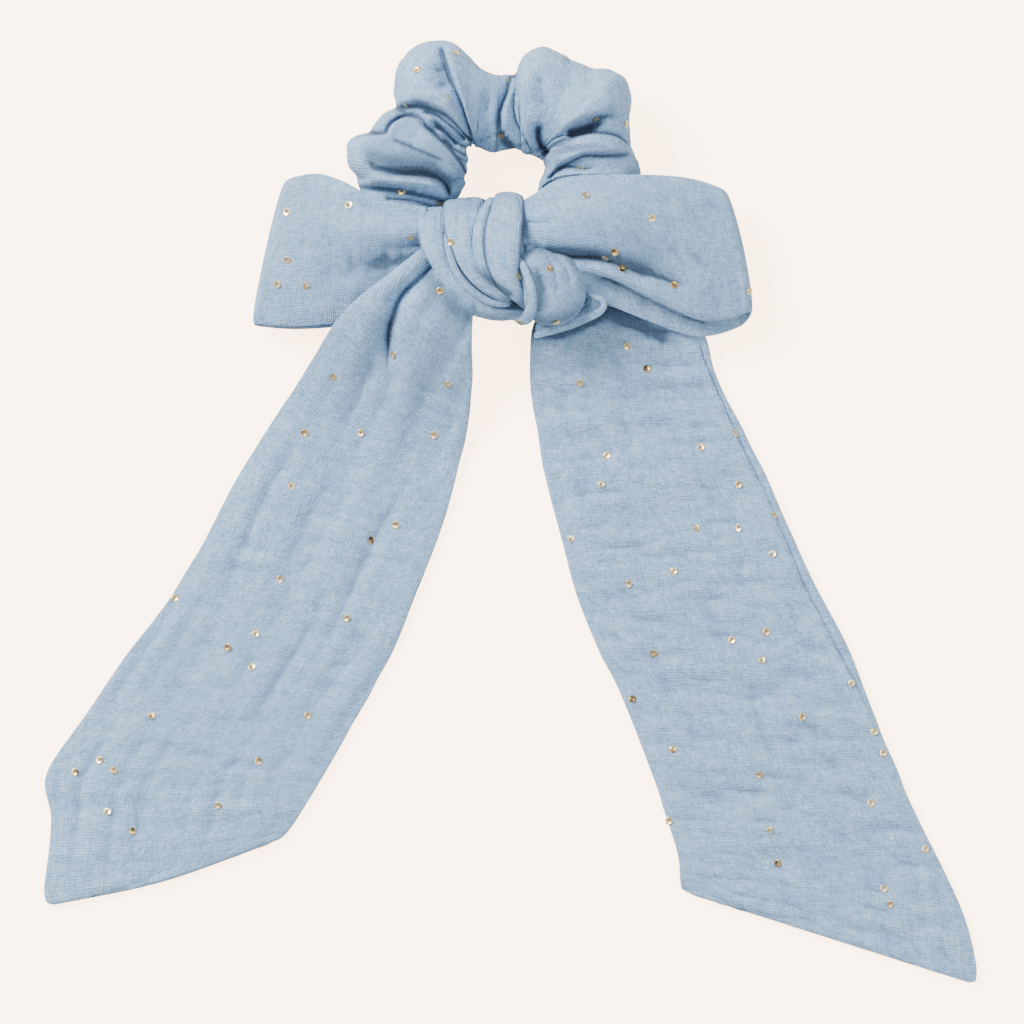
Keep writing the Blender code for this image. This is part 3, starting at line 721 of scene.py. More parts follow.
RIGHT_LOOP_FOLDS = [
    ("tuck", [(2, 80.5), (10, 79), (18, 77.6), (26, 77.4), (34, 74.8), (40, 72.2), (46, 70.2)], 2.2, 6.6,
     (0.02, 0.5)),
    ("valley", [(34, 74.6), (42, 71.4), (50, 69), (58, 67.6)], 2.6, 2, (0.3, 0.4)),
    ("valley", [(6, 79), (18, 77), (27, 76.6), (36, 73.6)], 1.8, 4.2, (0.1, 0.4)),
    ("groove", [(21, 71.6), (28, 70.4), (34, 68.4), (43, 63.8), (50, 60.4), (58, 57.2), (65, 56.2)], 0.9,
     2.8, (0.05, 0.25)),
    ("shade", [(10, 78.6), (19, 76.4), (27, 75.6), (36, 73), (44, 70.6), (51, 68.6)], (3, 1.5), 1.15,
     (0.02, 0.35)),
    ("shade", [(14, 81), (28, 80), (42, 77), (52, 73)], 5, 0.35, (0.1, 0.3)),
    ("shade", [(10, 78), (15, 77.3), (20.5, 76.7), (25.7, 76.1), (31.8, 74.3), (36, 72.6)], (1.4, 1.1),
     1.9, (0.25, 0.4)),
    ("shade", [(21, 71.4), (28, 70.2), (34, 68.2), (43, 63.6), (50, 60.2), (58, 57), (65, 56)],
     (0.4, 0.8), 0.85, (0.05, 0.2)),
    ("shade", [(20, 65), (28, 62.6), (36, 58.6), (44, 55.6), (52, 53.2)], (1, 2.5), 0.6, (0.02, 0.3)),
    ("shade", [(4, 92), (5.6, 84), (7, 79)], 2, 0.45, (0.1, 0.1)),
    ("shade", [(6, 82), (40, 80), (66, 78)], 24, 0.05, (0.02, 0.05)),
    ("ridge", [(20, 73.4), (30, 71.6), (40, 66.2), (52, 61), (66, 58.6)], 1.5, 1.1, (0.1, 0.2)),
    ("ridge", [(4, 88), (18, 90), (36, 90.5), (50, 89)], 7, 2.2, (0.02, 0.6)),
    ("valley", [(5, 92), (12, 92.6), (22, 93.6)], 1.6, 1.3, (0.02, 0.6)),
    ("groove", [(4.5, 86.5), (10, 86.2), (17, 86.4)], 0.9, 1.4, (0.02, 0.6)),
    ("valley", [(66.5, 96), (70, 80), (72, 66)], 2.4, 0.9, (0.3, 0.3)),
    ("valley", [(40, 80), (52, 76), (64, 74)], 4, 0.9, (0.3, 0.4)),
]
LOOP_COLUMNS = 74
# Rows of one layer, and of the far fold that joins the two.
LAYER_ROWS = 96
FOLD_ROWS = 22
LOOP_THICKNESS = 1.9
# Least height of the back layer's middle.
LOOP_GAP = 1.4
LOOP_PUCKER = 1.15
LOOP_GATHER = 0.8
# Lengths over which these fade: the calm cloth by the knot, the gathers there, the shade painted
# at the root, and the drawing in at the far fold.
CALM_LENGTH = 16.0
GATHER_LENGTH = 11.0
ROOT_LENGTH = 2.5
PINCH_LENGTH = 9.0


def loop_sheet(edges, part, puff, out, corner):
    """Rows of points out from the knot along the back, round the far fold and back in front."""
    share = np.linspace(0, 1, LAYER_ROWS)
    arch = np.sin(np.pi * part) ** 0.8

    def layer(side, direction):
        upper = curve(edges[side + "_upper"], share)
        lower = curve(edges[side + "_lower"], share)
        sheet = lower[:, None] + (upper - lower)[:, None] * part[None, :, None]
        belly = puff * (0.25 + 0.75 * np.sin(np.pi * np.clip(share * 0.8 + 0.1, 0, 1)))
        sheet[..., 2] += direction * belly[:, None] * arch[None, :]
        return sheet

    front = layer("front", 1.0)
    back = layer("back", -0.35)
    back[..., 2] = np.maximum(back[..., 2], LOOP_GAP)
    turn = np.linspace(-0.5 * np.pi, 0.5 * np.pi, FOLD_ROWS + 2)[1:-1]
    centre = (front[-1] + back[-1]) / 2
    reach = (front[-1] - back[-1]) / 2
    radius = np.linalg.norm(reach, axis=1)
    ahead = np.array((*out, 0.0)) / np.hypot(*out)
    bend = (
        centre[None] + reach[None] * np.sin(turn)[:, None, None]
        + ahead * (radius[None, :, None] * 0.85 * np.cos(turn)[:, None, None])
    )
    sheet = np.concatenate([back, bend, front[::-1]])
    along = lengths_along(sheet[:, LOOP_COLUMNS // 2])
    fold_at = along[LAYER_ROWS + FOLD_ROWS // 2]
    pinch = 1.0 - corner * np.exp(-((along - fold_at) / PINCH_LENGTH) ** 2)
    spine = sheet.mean(axis=1, keepdims=True)
    return spine + (sheet - spine) * pinch[:, None, None], along


def loop(name, edges, folds, puff, seed, material, out, corner):
    """Bow loop of two layers, gathered at the knot.

    `puff` is its bulge, `out` the way it points and `corner` how much its far fold is drawn in.
    """
    across = section_columns(LOOP_COLUMNS)
    sheet, along = loop_sheet(edges, (across + 1) / 2, puff, out, corner)
    width = np.linalg.norm(sheet[:, -1] - sheet[:, 0], axis=1)
    grid_across = across[None, :] * width[:, None] / 2
    grid_along = by_row(along, LOOP_COLUMNS)
    is_front = np.concatenate(
        [np.zeros(LAYER_ROWS), smooth(np.linspace(0, 1, FOLD_ROWS)), np.ones(LAYER_ROWS)]
    )
    inner = inner_share(across)
    near = np.minimum(grid_along, along[-1] - grid_along)
    calm = LOOP_PUCKER * (1.0 - 0.7 * np.exp(-near / CALM_LENGTH))
    sheet[..., 2] += calm * crinkle(grid_across, grid_along, seed) * (0.3 + 0.7 * inner)
    bent_across = grid_across / 2.6 + 0.3 * noise(grid_along / 9, grid_across / 5, 8)
    pinches = noise(bent_across, grid_along / 30, seed + 6)
    gathers = LOOP_GATHER * (0.5 - np.abs(pinches) ** 0.8) * np.exp(-near / GATHER_LENGTH)
    sheet[..., 2] += gathers * (0.3 + 0.7 * inner) * np.where(is_front > 0.5, 1, -1)[:, None]
    # Painted shade from the drawn strokes, and more where the loop dives under the knot.
    shade = sculpt(sheet, folds, is_front[:, None] * inner) + 0.4 * np.exp(-near / ROOT_LENGTH)
    sheet = relax(sheet, 3, closed_columns=False)
    body = thicken(sheet, across, LOOP_THICKNESS, np.ones(len(sheet)))
    marks = around(cloth_marks(grid_across, grid_along, seed * 5.1))
    return sweep(name, body, material, marks, shade=around(shade))


# ---------------------------------------------------------------- knot

# Middle and reach of the knot's core along y and z.
KNOT_MIDDLE = (76.0, 14.5)
KNOT_REACH = (16.6, 15.2)

# Bands of the knot, one row per station: x and y of the left edge, x and y of the right edge,
# lift off the knot's core, bulge. A y beyond the core's reach goes on round behind it.
KNOT_BANDS = {
    "wrap": [
        (-26, 104, -17.6, 104, -4.6, 1.6), (-27, 95, -17.9, 95.5, -3.4, 2),
        (-27.6, 89.6, -18.2, 91, -1.6, 2.4), (-27.3, 85, -18.8, 86, -0.8, 2.6),
        (-26.6, 81.2, -19, 82, -0.6, 2.6), (-25.2, 77, -18.6, 78, -0.4, 2.6),
        (-22.2, 72, -16.8, 73.2, -0.2, 2.5), (-19.4, 67.4, -13.6, 68.8, 0.2, 2.5),
        (-16, 63.2, -9.2, 65.2, 0.6, 2.5), (-11, 60.7, -4.2, 62.9, 0.8, 2.4),
        (-4.8, 59.6, 1.2, 62.4, 0.8, 2.2), (0.4, 59, 4.6, 61.4, 0.2, 1.8),
        (3.6, 58.8, 6.8, 60.6, -1.2, 1.4),
    ],
    "chin": [
        (-10, 61.4, -9, 59.4, -1.2, 1.2), (-5, 60.2, -4.4, 57.8, -0.6, 1.6), (0, 59.8, -0.6, 56.4, 0, 2),
        (4, 60.4, 3.6, 55.8, 0.6, 2.2), (8, 60, 7.6, 56, 0.4, 2),
    ],
    "narrow": [
        (-19.6, 84, -17.6, 83.6, -1, 1.2), (-19.3, 80, -17, 79, -0.2, 1.9),
        (-18.6, 76.4, -15.9, 75.4, 0.5, 2.2), (-16.8, 72, -14.2, 72.2, 0.9, 2.3),
        (-13.6, 68, -11.6, 69.4, 1.2, 2.2), (-9.4, 64.9, -8, 66.7, 1.3, 2),
        (-4.4, 63.1, -3.8, 64.8, 1.2, 1.8), (1, 62.6, 0.6, 63.8, 0.6, 1.4),
    ],
    "broad": [
        (-19, 106, -8, 106, -2.6, 1.6), (-19.4, 97, -7.2, 98, -0.9, 1.8), (-19.6, 91.2, -6.8, 93, 0, 2.4),
        (-19.6, 86.4, -8.6, 87.6, 0.3, 2.8), (-18.6, 81.5, -10.2, 83, 0.5, 2.8),
        (-16.6, 77.2, -10.4, 79.2, 0.8, 2.6), (-14.9, 73.6, -9.4, 75.4, 1, 2.5),
        (-12.2, 70.2, -7.2, 71.2, 1.2, 2.4), (-8.4, 67.2, -4.4, 68, 1.4, 2.3),
        (-4.2, 65.2, -1, 66, 1.4, 2), (0.4, 63.9, 1.4, 64.4, 0.8, 1.5),
    ],
    "slim": [
        (-6.4, 104, -3.6, 104, -2, 1), (-6.6, 97, -3.6, 96, -0.6, 1.6), (-6.6, 92, -3.8, 91.6, 0.5, 2.2),
        (-8.6, 89, -5, 88.8, 0.9, 2.6), (-10, 85.8, -6.2, 85.4, 1.1, 2.7),
        (-10.9, 81.6, -7, 81.4, 1.3, 2.7), (-10.8, 77.6, -6.9, 77.4, 1.4, 2.6),
        (-9.6, 73.6, -5.9, 73.4, 1.6, 2.5), (-7.2, 69.8, -3.8, 69.8, 1.7, 2.4),
        (-4, 66.9, -0.9, 67, 1.7, 2.1), (-0.4, 64.9, 1.6, 65.4, 1.2, 1.6),
    ],
    "upright": [
        (-3.6, 112, 3.8, 112, -2.4, 1.4), (-4.2, 103, 4.2, 103, 0, 2), (-4.4, 95.2, 4.4, 95.2, 0.8, 2.4),
        (-4.6, 91.6, 4.5, 91, 1.5, 2.7), (-5.5, 88.4, 4.3, 87, 2, 3), (-6.7, 84.8, 3.9, 82.6, 2.4, 3.1),
        (-7.3, 81, 3.6, 78.6, 2.6, 3.1), (-7.1, 77, 3.3, 75.2, 2.7, 3), (-6.1, 73, 3, 72.2, 2.7, 2.9),
        (-3.9, 69.4, 3.8, 69.2, 2.6, 2.7), (-0.7, 66.6, 4.9, 66.4, 2.4, 2.4),
        (2, 64.4, 5.2, 63.6, 1.6, 2), (3.6, 62.6, 5.2, 61.4, 0.2, 1.4),
    ],
}
# Painted shade where the bands crowd together and leave each other out of the light.
KNOT_SHADES = [
    ("shade", [(-8.6, 74.6), (-6.4, 70.6), (-2.6, 67.2), (1.6, 64.2)], 1, 0.8, (0.2, 0.05)),
    ("shade", [(-11.4, 75), (-8.8, 71.2), (-4.6, 67.6), (0.8, 64.4)], 0.9, 0.7, (0.2, 0.05)),
    ("shade", [(-15.4, 72), (-11.4, 68), (-6, 64.8), (0, 63)], 0.8, 0.55, (0.3, 0.05)),
    ("shade", [(-2, 61), (4, 63), (6, 66)], 1.6, 0.4),
]
# The small turn that locks the knot, and the hem of the tail that leaves it, with their heights:
# x, y of the left edge, x, y of the right edge, height of the middle, bulge.
LOCK_BANDS = {
    "rim": [
        (2.3, 75.6, 2.9, 76.2, 30.6, 0.8), (3.2, 72.6, 5.2, 73.6, 32.6, 1.6), (4.3, 69.6, 7, 70, 33.4, 2),
        (5.1, 66, 8.1, 66, 33.2, 2.1), (5.1, 62.2, 8.4, 62, 32, 2.1), (4, 59.2, 7.8, 58.4, 29.6, 2),
        (2.4, 58, 5.8, 56.2, 26.4, 1.8), (0.8, 58, 3, 55.9, 23, 1.4),
    ],
    "flap": [
        (8, 57.6, 7.6, 53.2, 17.6, 1.2), (14, 58.4, 13.6, 54.6, 18.2, 1.2),
        (19.2, 60.4, 19.6, 56.2, 19, 1.3), (22.6, 63, 24.4, 58.4, 20, 1.3),
        (22.8, 65.2, 27.4, 60.8, 20.8, 1.2), (21, 66.6, 26.8, 63.6, 20.8, 0.9),
    ],
    "hem": [
        (7.6, 54.6, 7, 51.8, 17.6, 0.9), (12.7, 56, 13.1, 53.3, 18.6, 1.3),
        (17.6, 57.4, 18.6, 54.9, 19.4, 1.3), (21.8, 59.2, 23.4, 56.9, 20.2, 1.2),
        (25.8, 61, 27.8, 59.3, 20.9, 1.1), (27.2, 62.2, 29.2, 62.4, 21.2, 1),
        (25.6, 63.4, 27.2, 65, 21.2, 0.9), (21.6, 64.6, 22.6, 66, 20.6, 0.8),
    ],
}
# How far each of these lies out of the light.
LOCK_SHADES = {"rim": 0.0, "flap": 0.75, "hem": 0.0}
# The hitch that the bands lie on: left end, length, middle and radii along y and z.
HITCH_LEFT = -20.5
HITCH_LENGTH = 32.5
HITCH_MIDDLE = (75.4, 14.6)
HITCH_RADII = (16.4, 14.6)
KNOB_MIDDLE = (13.0, 67.0, 22.6)
KNOB_HALF_HEIGHT = 9.2
# Reach of the locking turn from its middle, anticlockwise from the right in steps of 30 degrees.
KNOB_REACH = [9.8, 10.0, 10.4, 10.9, 13.6, 13.4, 11.0, 10.4, 11.2, 11.1, 10.9, 10.4]
# Its fall towards the right, per mm.
KNOB_SLOPE = 0.30
# How far the hitch and the locking turn lie out of the light all over.
HITCH_SHADE = 0.5
KNOB_SHADE = 0.2
KNOB_FOLDS = [
    ("shade", [(5, 77.6), (9, 79.4), (16, 78.4)], 2.4, 0.5, (0.1, 0.3)),
    ("shade", [(6, 57), (13, 56.6), (20, 59.4), (23, 64)], 2.4, 0.6, (0.1, 0.2)),
    ("shade", [(7.6, 74), (9.4, 66), (8.4, 59)], 1.6, 0.6, (0.1, 0.1)),
    ("groove", [(12.4, 78), (15.4, 74.6), (17.6, 70.4), (18, 64)], 1, 0.9, (0.05, 0.5)),
    ("groove", [(9.4, 78.6), (12.4, 74.6), (14, 69), (13.6, 61)], 1, 0.8, (0.05, 0.4)),
    ("valley", [(8, 72), (10.6, 66), (10.4, 59)], 1.8, 0.8),
    ("ridge", [(15, 77), (20, 71), (20.8, 64), (17.6, 58.6)], 1.6, 0.7, (0.1, 0.2)),
]
# Least height of the hitch and of the ring over the table.
RING_GAP = 0.05


def on_knot(x, y, lift):
    """Point on the knot's core, pushed out by lift. Past the core's reach it goes on behind."""
    across, tall = KNOT_REACH
    over = y - KNOT_MIDDLE[0]
    turn = np.arccos(np.clip(over / across, -1, 1))
    turn = np.where(over > across, -(over - across) / tall, turn)
    turn = np.where(over < -across, np.pi + (-across - over) / tall, turn)
    return turn, np.stack([
        np.broadcast_to(x, turn.shape),
        KNOT_MIDDLE[0] + (across + lift) * np.cos(turn),
        KNOT_MIDDLE[1] + (tall + lift) * np.sin(turn),
    ], axis=-1)


def band(name, left, right, outward, bulge, material, seed, rows=120, columns=56, dark=0.0):
    """Rounded, puckered band of cloth between two edge lines, with shade painted at its edges.

    `dark` is shade painted over all of it.
    """
    share = np.linspace(0, 1, rows)
    one, two, up = curve(left, share), curve(right, share), curve(outward, share)
    up /= np.linalg.norm(up, axis=1, keepdims=True)
    tall = column_curve(bulge, share)
    middle, reach = (one + two) / 2, (two - one) / 2
    wide = np.linalg.norm(reach, axis=1)
    along = lengths_along(middle)
    close = end_share(along, along[-1], 1.6) * end_share(along[-1] - along, along[-1], 1.6)
    close = np.maximum(close, 0.08)
    turn = turns_round(columns)
    cosine, sine = by_column(np.cos(turn), rows), by_column(np.sin(turn), rows)
    grid_along = by_row(along, columns)
    grid_across = cosine * wide[:, None]
    profile = np.sign(sine) * np.abs(sine) ** 0.72
    lean = 0.22 * noise(grid_along / 11.0, grid_across * 0 + 0.5, seed) * cosine
    swell = 1.0 + lean + 0.10 * noise(grid_across / 2.6 + 3, grid_along / 10.0, seed + 1)
    body = (
        middle[:, None]
        + reach[:, None] * (np.sign(cosine) * np.abs(cosine) ** 0.9 * close[:, None])[..., None]
        + up[:, None] * (profile * swell * (tall * close)[:, None])[..., None]
    )
    ripple = 0.30 * crinkle(grid_across * 1.3, grid_along * 1.3, seed + 2)
    pleats = -0.45 * np.exp(-np.abs(noise(grid_across / 2.2, grid_along / 24, seed + 3)) * 7)
    relief = (ripple + pleats * close[:, None]) * np.clip(sine, 0, 1) ** 0.5
    body += up[:, None] * relief[..., None]
    body = relax(body, 1)
    marks = cloth_marks(grid_across + 0.5 * sine * tall[:, None], grid_along, seed * 3.7)
    # Painted shade along both edges, where each band dives into the crease beside it, and in the knot's
    # creases.
    edges = 0.85 * smooth((np.abs(cosine) - 0.80) / 0.17)
    crease_shade = sculpt(body, KNOT_SHADES, sine > 0)
    return sweep(name, body, material, marks, shade=edges + crease_shade + dark)


def knot_core(material, rows=90, columns=150):
    """Hitch of the sash round the ring: the mass that the front bands lie on."""
    half = HITCH_LENGTH * 0.5
    x = HITCH_LEFT + half * (1 + np.sin(0.5 * np.pi * np.linspace(-1, 1, rows)))
    grid_x = by_row(x, columns)
    grid_turn = by_column(turns_round(columns), rows)
    from_middle = np.abs((grid_x - HITCH_LEFT - half) / half)
    swell = (1 - 0.5 * from_middle**7) * 0.93
    pleats = noise((grid_x + 4 * np.cos(grid_turn + 1.0)) / 3.6, np.cos(grid_turn) * 1.2, 41)
    depth = -1.5 * np.exp(-np.abs(pleats) * 6.0) + 0.35 * crinkle(grid_x, grid_turn * 14, 42)
    body = np.stack([
        grid_x,
        HITCH_MIDDLE[0] + (HITCH_RADII[0] * swell + depth) * np.cos(grid_turn),
        HITCH_MIDDLE[1] + (HITCH_RADII[1] * swell + depth) * np.sin(grid_turn),
    ], axis=-1)
    body[..., 2] = np.maximum(body[..., 2], RING_GAP)
    marks = cloth_marks(grid_x, grid_turn * 14.0, 3.3)
    return sweep("knot_hitch", body, material, marks, shade=HITCH_SHADE)


def knob(material, rows=90, columns=150):
    """Round turn at the knot's right, where the sash is pulled through itself."""
    lift = np.linspace(-0.5 * np.pi, 0.5 * np.pi, rows + 2)[1:-1]
    share = np.arange(columns) / columns
    grid_lift = by_row(lift, columns)
    grid_turn = by_column(TAU * share, rows)
    round_share = np.cos(grid_lift) ** 0.8 * column_curve(KNOB_REACH, share, closed=True)[None]
    body = np.stack([
        KNOB_MIDDLE[0] + round_share * np.cos(grid_turn),
        KNOB_MIDDLE[1] + round_share * np.sin(grid_turn),
        KNOB_MIDDLE[2] + KNOB_HALF_HEIGHT * np.sin(grid_lift),
    ], axis=-1)
    x, y = body[..., 0], body[..., 1]
    facing = smooth((np.sin(grid_lift) + 0.1) * 2)
    slope = KNOB_SLOPE * (x - KNOB_MIDDLE[0])
    body[..., 2] += (0.4 * crinkle(x * 1.3, y * 1.3, 52) - slope) * facing
    shade = facing * sculpt(body, KNOB_FOLDS, facing)
    marks = cloth_marks(x * 0.8 + y * 0.6, y * 0.8 - x * 0.6, 8.8)
    return sweep("knot_tuck", body, material, marks, shade=shade + KNOB_SHADE)


def build_knot(material):
    made = [knot_core(material), knob(material)]
    for number, (name, table) in enumerate(KNOT_BANDS.items()):
        table = np.array(table)
        turn, left = on_knot(table[:, 0], table[:, 1], table[:, 4])
        _, right = on_knot(table[:, 2], table[:, 3], table[:, 4])
        outward = np.stack([np.zeros(len(table)), np.cos(turn), np.sin(turn)], axis=-1)
        made.append(band(
            "knot_band_" + name, left, right, outward, table[:, 5], material, 60 + 5 * number
        ))
    for number, (name, table) in enumerate(LOCK_BANDS.items()):
        table = np.array(table)
        left = np.column_stack([table[:, 0:2], table[:, 4]])
        right = np.column_stack([table[:, 2:4], table[:, 4]])
        outward = np.tile((0.0, 0.0, 1.0), (len(table), 1))
        made.append(band(
            "knot_" + name, left, right, outward, table[:, 5], material, 95 + 5 * number, 90, 40,
            LOCK_SHADES[name],
        ))
    return made


# ---------------------------------------------------------------- gathered ring

# Clockwise from the top: x, y, reach outwards, reach to the hole, middle height, half height.
RING_STATIONS = [
    (-3, 123.2, 8.6, 13.6, 11.5, 11.8), (4, 124, 13.4, 14.5, 13, 14),
    (11.8, 122.6, 16.2, 15.2, 13.6, 14.6), (18.4, 119.6, 16.6, 15.2, 13.8, 14.8),
    (22.8, 114.6, 17.2, 15.4, 13.6, 14.4), (24.6, 108, 13.6, 14.6, 12, 12.8),
    (25.4, 101.5, 13.8, 14.4, 10.2, 10.8), (26.4, 94, 12.8, 13.4, 9.3, 9.8),
    (27.2, 86.5, 11.2, 11.2, 9.4, 9.2), (24.8, 78.6, 9.2, 9.2, 10, 8.5), (19.8, 73.6, 8.2, 8.2, 13, 8),
    (14, 72.5, 8, 8, 14.2, 8), (6, 72.5, 8, 8, 14.2, 8), (-2, 72.5, 8, 8, 14.2, 8),
    (-10, 72.5, 8, 8, 14.2, 8), (-18, 72.5, 8, 8, 14.2, 8), (-24, 74, 8.2, 8.2, 12.4, 8),
    (-29.6, 79.4, 9.4, 9.4, 9.6, 8.6), (-32, 87, 11.4, 11.4, 9.2, 9.3), (-32, 95, 14.2, 14.2, 9.4, 9.8),
    (-31, 102.5, 17, 17.2, 12.2, 13), (-28.6, 109.5, 16.4, 15.6, 12.6, 13.6),
    (-25, 115.8, 14.2, 14.6, 12.4, 13.2), (-20.4, 121.2, 16.6, 15.4, 13.6, 14.8),
    (-14.6, 124, 17.6, 15.4, 13.6, 14.6), (-8.6, 124.2, 12.8, 14.2, 12.6, 13.2),
]
RING_LENGTH = 185.0
RING_ROWS = 440
RING_COLUMNS = 168
# Radius by which the tube's way round becomes a length of cloth.
TUBE_RADIUS = 14.0
# The drawn edges and folds count from these places along y, and in full after the lengths that
# follow: the rest of the ring lies under the bow.
EDGES_FROM = 88.0
EDGES_BLEND = 8.0
FOLDS_FROM = 84.0
FOLDS_BLEND = 6.0
# A drawn edge has to be this far from the ring's middle line to be the tube's own.
LEAST_REACH = 5.0
MOST_REACH = 24.0
# A lobe that reaches farther out than its station says rises by this share of the difference.
LOBE_RISE = 0.55
# Outer edge of the lobes, clockwise from the left of the bow, and edge of the hole.
RING_OUTSIDE = [
    (-45, 90), (-46, 99.5), (-48.1, 103.2), (-49, 107.9), (-48.4, 111.2), (-45.6, 113.3), (-42.3, 114.2),
    (-41.6, 115.6), (-40.3, 117.6), (-36.7, 120.2), (-34, 121.2), (-34.2, 122.6), (-35.1, 126.1),
    (-34.8, 129.5), (-33.4, 133.5), (-30.2, 137.9), (-25.5, 141), (-20.8, 141.7), (-16.2, 140.5),
    (-11.5, 136.8), (-7.8, 133.8), (-3.8, 131.5), (0.6, 131.2), (2.2, 132), (2.8, 134.8), (4.4, 137.5),
    (7.1, 139.3), (10.4, 139.7), (14.6, 138.2), (19.3, 135.8), (25.8, 133.6), (31.4, 132.8), (34.7, 131),
    (36.5, 127), (37.2, 121.9), (36.6, 115.3), (36.6, 110.7), (37.9, 106.9), (39.6, 103.2), (40, 98),
    (38.5, 90),
]
RING_INSIDE = [
    (-19, 88), (-17.4, 91), (-14.5, 95.8), (-13, 100.4), (-12.6, 106), (-12.9, 109), (-10.9, 110),
    (-8.7, 109.2), (-4.1, 108.3), (1.5, 108.9), (5.3, 107.5), (8.7, 106.2), (10.6, 103.8), (10, 100.4),
    (8.6, 96.7), (10.2, 92), (14, 88),
]
